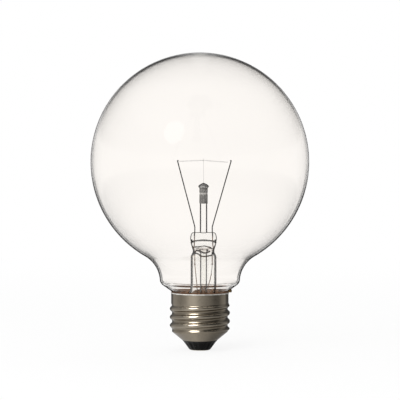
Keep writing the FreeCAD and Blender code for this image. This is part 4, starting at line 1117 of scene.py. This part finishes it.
def floor_finish():
    """Pale floor: white to camera and glass, the studio's walls mirrored to metal with painted shade round the foot,
    and a soft shadow.
    """
    nodes = Nodes.material("pale_floor")
    nodes.owner.cycles.emission_sampling = "NONE"
    radius = nodes.radius()
    x, y, _ = nodes.parts()
    turn = studio_turn(nodes, x, y)
    # Painted shade round the foot, seen only by glossy rays
    mirrored = nodes.mix(nodes.spread(radius, 0.02, 0.07), nodes.ramp(turn, FOOT_PAINTED_SHADE), nodes.ramp(turn, LOW_WALL))
    path = nodes.add("ShaderNodeLightPath")
    white = nodes.add("ShaderNodeEmission")
    bounced = nodes.math("SUBTRACT", path.outputs["Is Glossy Ray"], path.outputs["Is Transmission Ray"])
    nodes.link(nodes.mix(bounced, WHITE, mirrored), white.inputs["Color"])
    matt = nodes.add("ShaderNodeBsdfDiffuse")
    nodes.link(nodes.ramp(nodes.noise(3.0), [(0.3, 0.86), (0.7, 0.9)]), matt.inputs["Color"])
    lit = nodes.math("MAXIMUM", path.outputs["Is Glossy Ray"], nodes.math(
        "MAXIMUM", path.outputs["Is Camera Ray"], path.outputs["Is Transmission Ray"]))
    share = nodes.math("MULTIPLY", lit, nodes.spread(radius, 0.08, 0.6, 0.86, 1.0))
    nodes.link(nodes.blend(share, matt.outputs[0], white.outputs[0]), nodes.output.inputs["Surface"])
    return nodes.owner


class LAMP_OT_stage(bpy.types.Operator):
    """Set the floor, the soft lamps and the camera"""

    bl_idname = "globe_lamp.stage"
    bl_label = "Stage"

    def execute(self, context):
        stage = context.scene.globe_lamp.stage
        studio_light()
        self.lay_floor(stage)
        self.hang_lamps(stage)
        self.set_camera(context, stage)
        context.scene.view_settings.view_transform = "Standard"
        context.scene.cycles.max_bounces = BOUNCES
        context.scene.cycles.transmission_bounces = BOUNCES
        context.scene.cycles.transparent_max_bounces = BOUNCES
        return {"FINISHED"}

    def lay_floor(self, stage):
        """Wide floor just under the contact."""
        select_only()
        bpy.ops.mesh.primitive_plane_add(size=stage.floor_size, location=(0, 0, -0.02 * MM))
        floor = bpy.context.object
        floor.name = "floor"
        bpy.ops.object.transform_apply()
        floor.data.materials.append(floor_finish())

    def hang_lamps(self, stage):
        """Soft oval lamps aimed at the lamp; those not meant for the globe are kept off it."""
        aim = Vector((0, 0, 0.06))
        for name, power, size, place, mirrored, spread, on_globe in (
                ("key_lamp", stage.key_power, (0.75, 1.1), (-0.49, -0.87, 0.67), True, True, False),
                ("top_lamp", stage.top_power, (0.8, 0.75), (-0.34, -0.06, 0.95), True, False, False),
                ("glint_lamp", stage.glint_power, (0.4, 0.45), (-0.465, -0.825, 0.64), True, False, True),
                ("back_lamp", stage.fill_power, (0.6, 0.6), (0.1, 0.5, 0.9), False, True, True)):
            select_only()
            bpy.ops.object.light_add(type="AREA", location=place)
            lamp = bpy.context.object
            lamp.name = name
            lamp.data.shape = "ELLIPSE"
            lamp.data.size, lamp.data.size_y = size
            lamp.data.energy = power
            lamp.visible_camera = False
            lamp.visible_glossy = mirrored
            lamp.visible_diffuse = spread
            lamp.visible_transmission = False
            lamp.rotation_euler = (aim - Vector(place)).to_track_quat("-Z", "Y").to_euler()
            if not on_globe:
                select_only(bpy.data.objects["blown_globe"], lamp)
                bpy.ops.object.light_linking_receiver_collection_new()
                bpy.ops.object.light_linking_receivers_link(link_state="EXCLUDE")

    def set_camera(self, context, stage):
        """Camera of the photograph, a little above the floor, aimed at the lamp's middle."""
        aside = 0.06 * MM
        place = Vector((aside, -stage.camera_distance, stage.camera_height))
        aim = Vector((aside, 0, stage.aim_height))
        bpy.ops.object.camera_add(location=place, rotation=(aim - place).to_track_quat("-Z", "Y").to_euler())
        camera = context.object
        camera.name = "photo_camera"
        camera.data.sensor_width = 36.0
        camera.data.lens_unit = "FOV"
        camera.data.angle = stage.view_angle
        camera.data.clip_start = 0.01
        camera.data.clip_end = 50.0
        context.scene.camera = camera


class LAMP_PT_panel(bpy.types.Panel):
    """Lists the lamp's pieces in the order they are made"""

    bl_idname = "LAMP_PT_panel"
    bl_label = "Globe lamp"
    bl_space_type = "VIEW_3D"
    bl_region_type = "UI"
    bl_category = "Globe lamp"

    def draw(self, context):
        for maker in MAKERS:
            self.layout.operator(maker.bl_idname)
        lamp = context.scene.globe_lamp
        for group in (lamp.glass, lamp.cap, lamp.stem, lamp.wires, lamp.stage):
            box = self.layout.box()
            for key in group.__annotations__:
                box.prop(group, key)


MAKERS = (
    LAMP_OT_glass_globe, LAMP_OT_screw_cap, LAMP_OT_basing, LAMP_OT_stem_glass, LAMP_OT_arbor, LAMP_OT_lead_wires,
    LAMP_OT_filament, LAMP_OT_stage)
CLASSES = (
    LampGlassSettings, LampCapSettings, LampStemSettings, LampWireSettings, LampStageSettings, LampSettings,
    *MAKERS, LAMP_PT_panel)


def register():
    for each in CLASSES:
        bpy.utils.register_class(each)
    bpy.types.Scene.globe_lamp = bpy.props.PointerProperty(type=LampSettings)


def unregister():
    del bpy.types.Scene.globe_lamp
    for each in reversed(CLASSES):
        bpy.utils.unregister_class(each)


def main():
    register()
    bpy.ops.globe_lamp.glass_globe()
    bpy.ops.globe_lamp.screw_cap()
    bpy.ops.globe_lamp.basing()
    bpy.ops.globe_lamp.stem_glass()
    bpy.ops.globe_lamp.arbor()
    bpy.ops.globe_lamp.lead_wires()
    bpy.ops.globe_lamp.filament()
    bpy.ops.globe_lamp.stage()


if __name__ == "__main__":
    main()
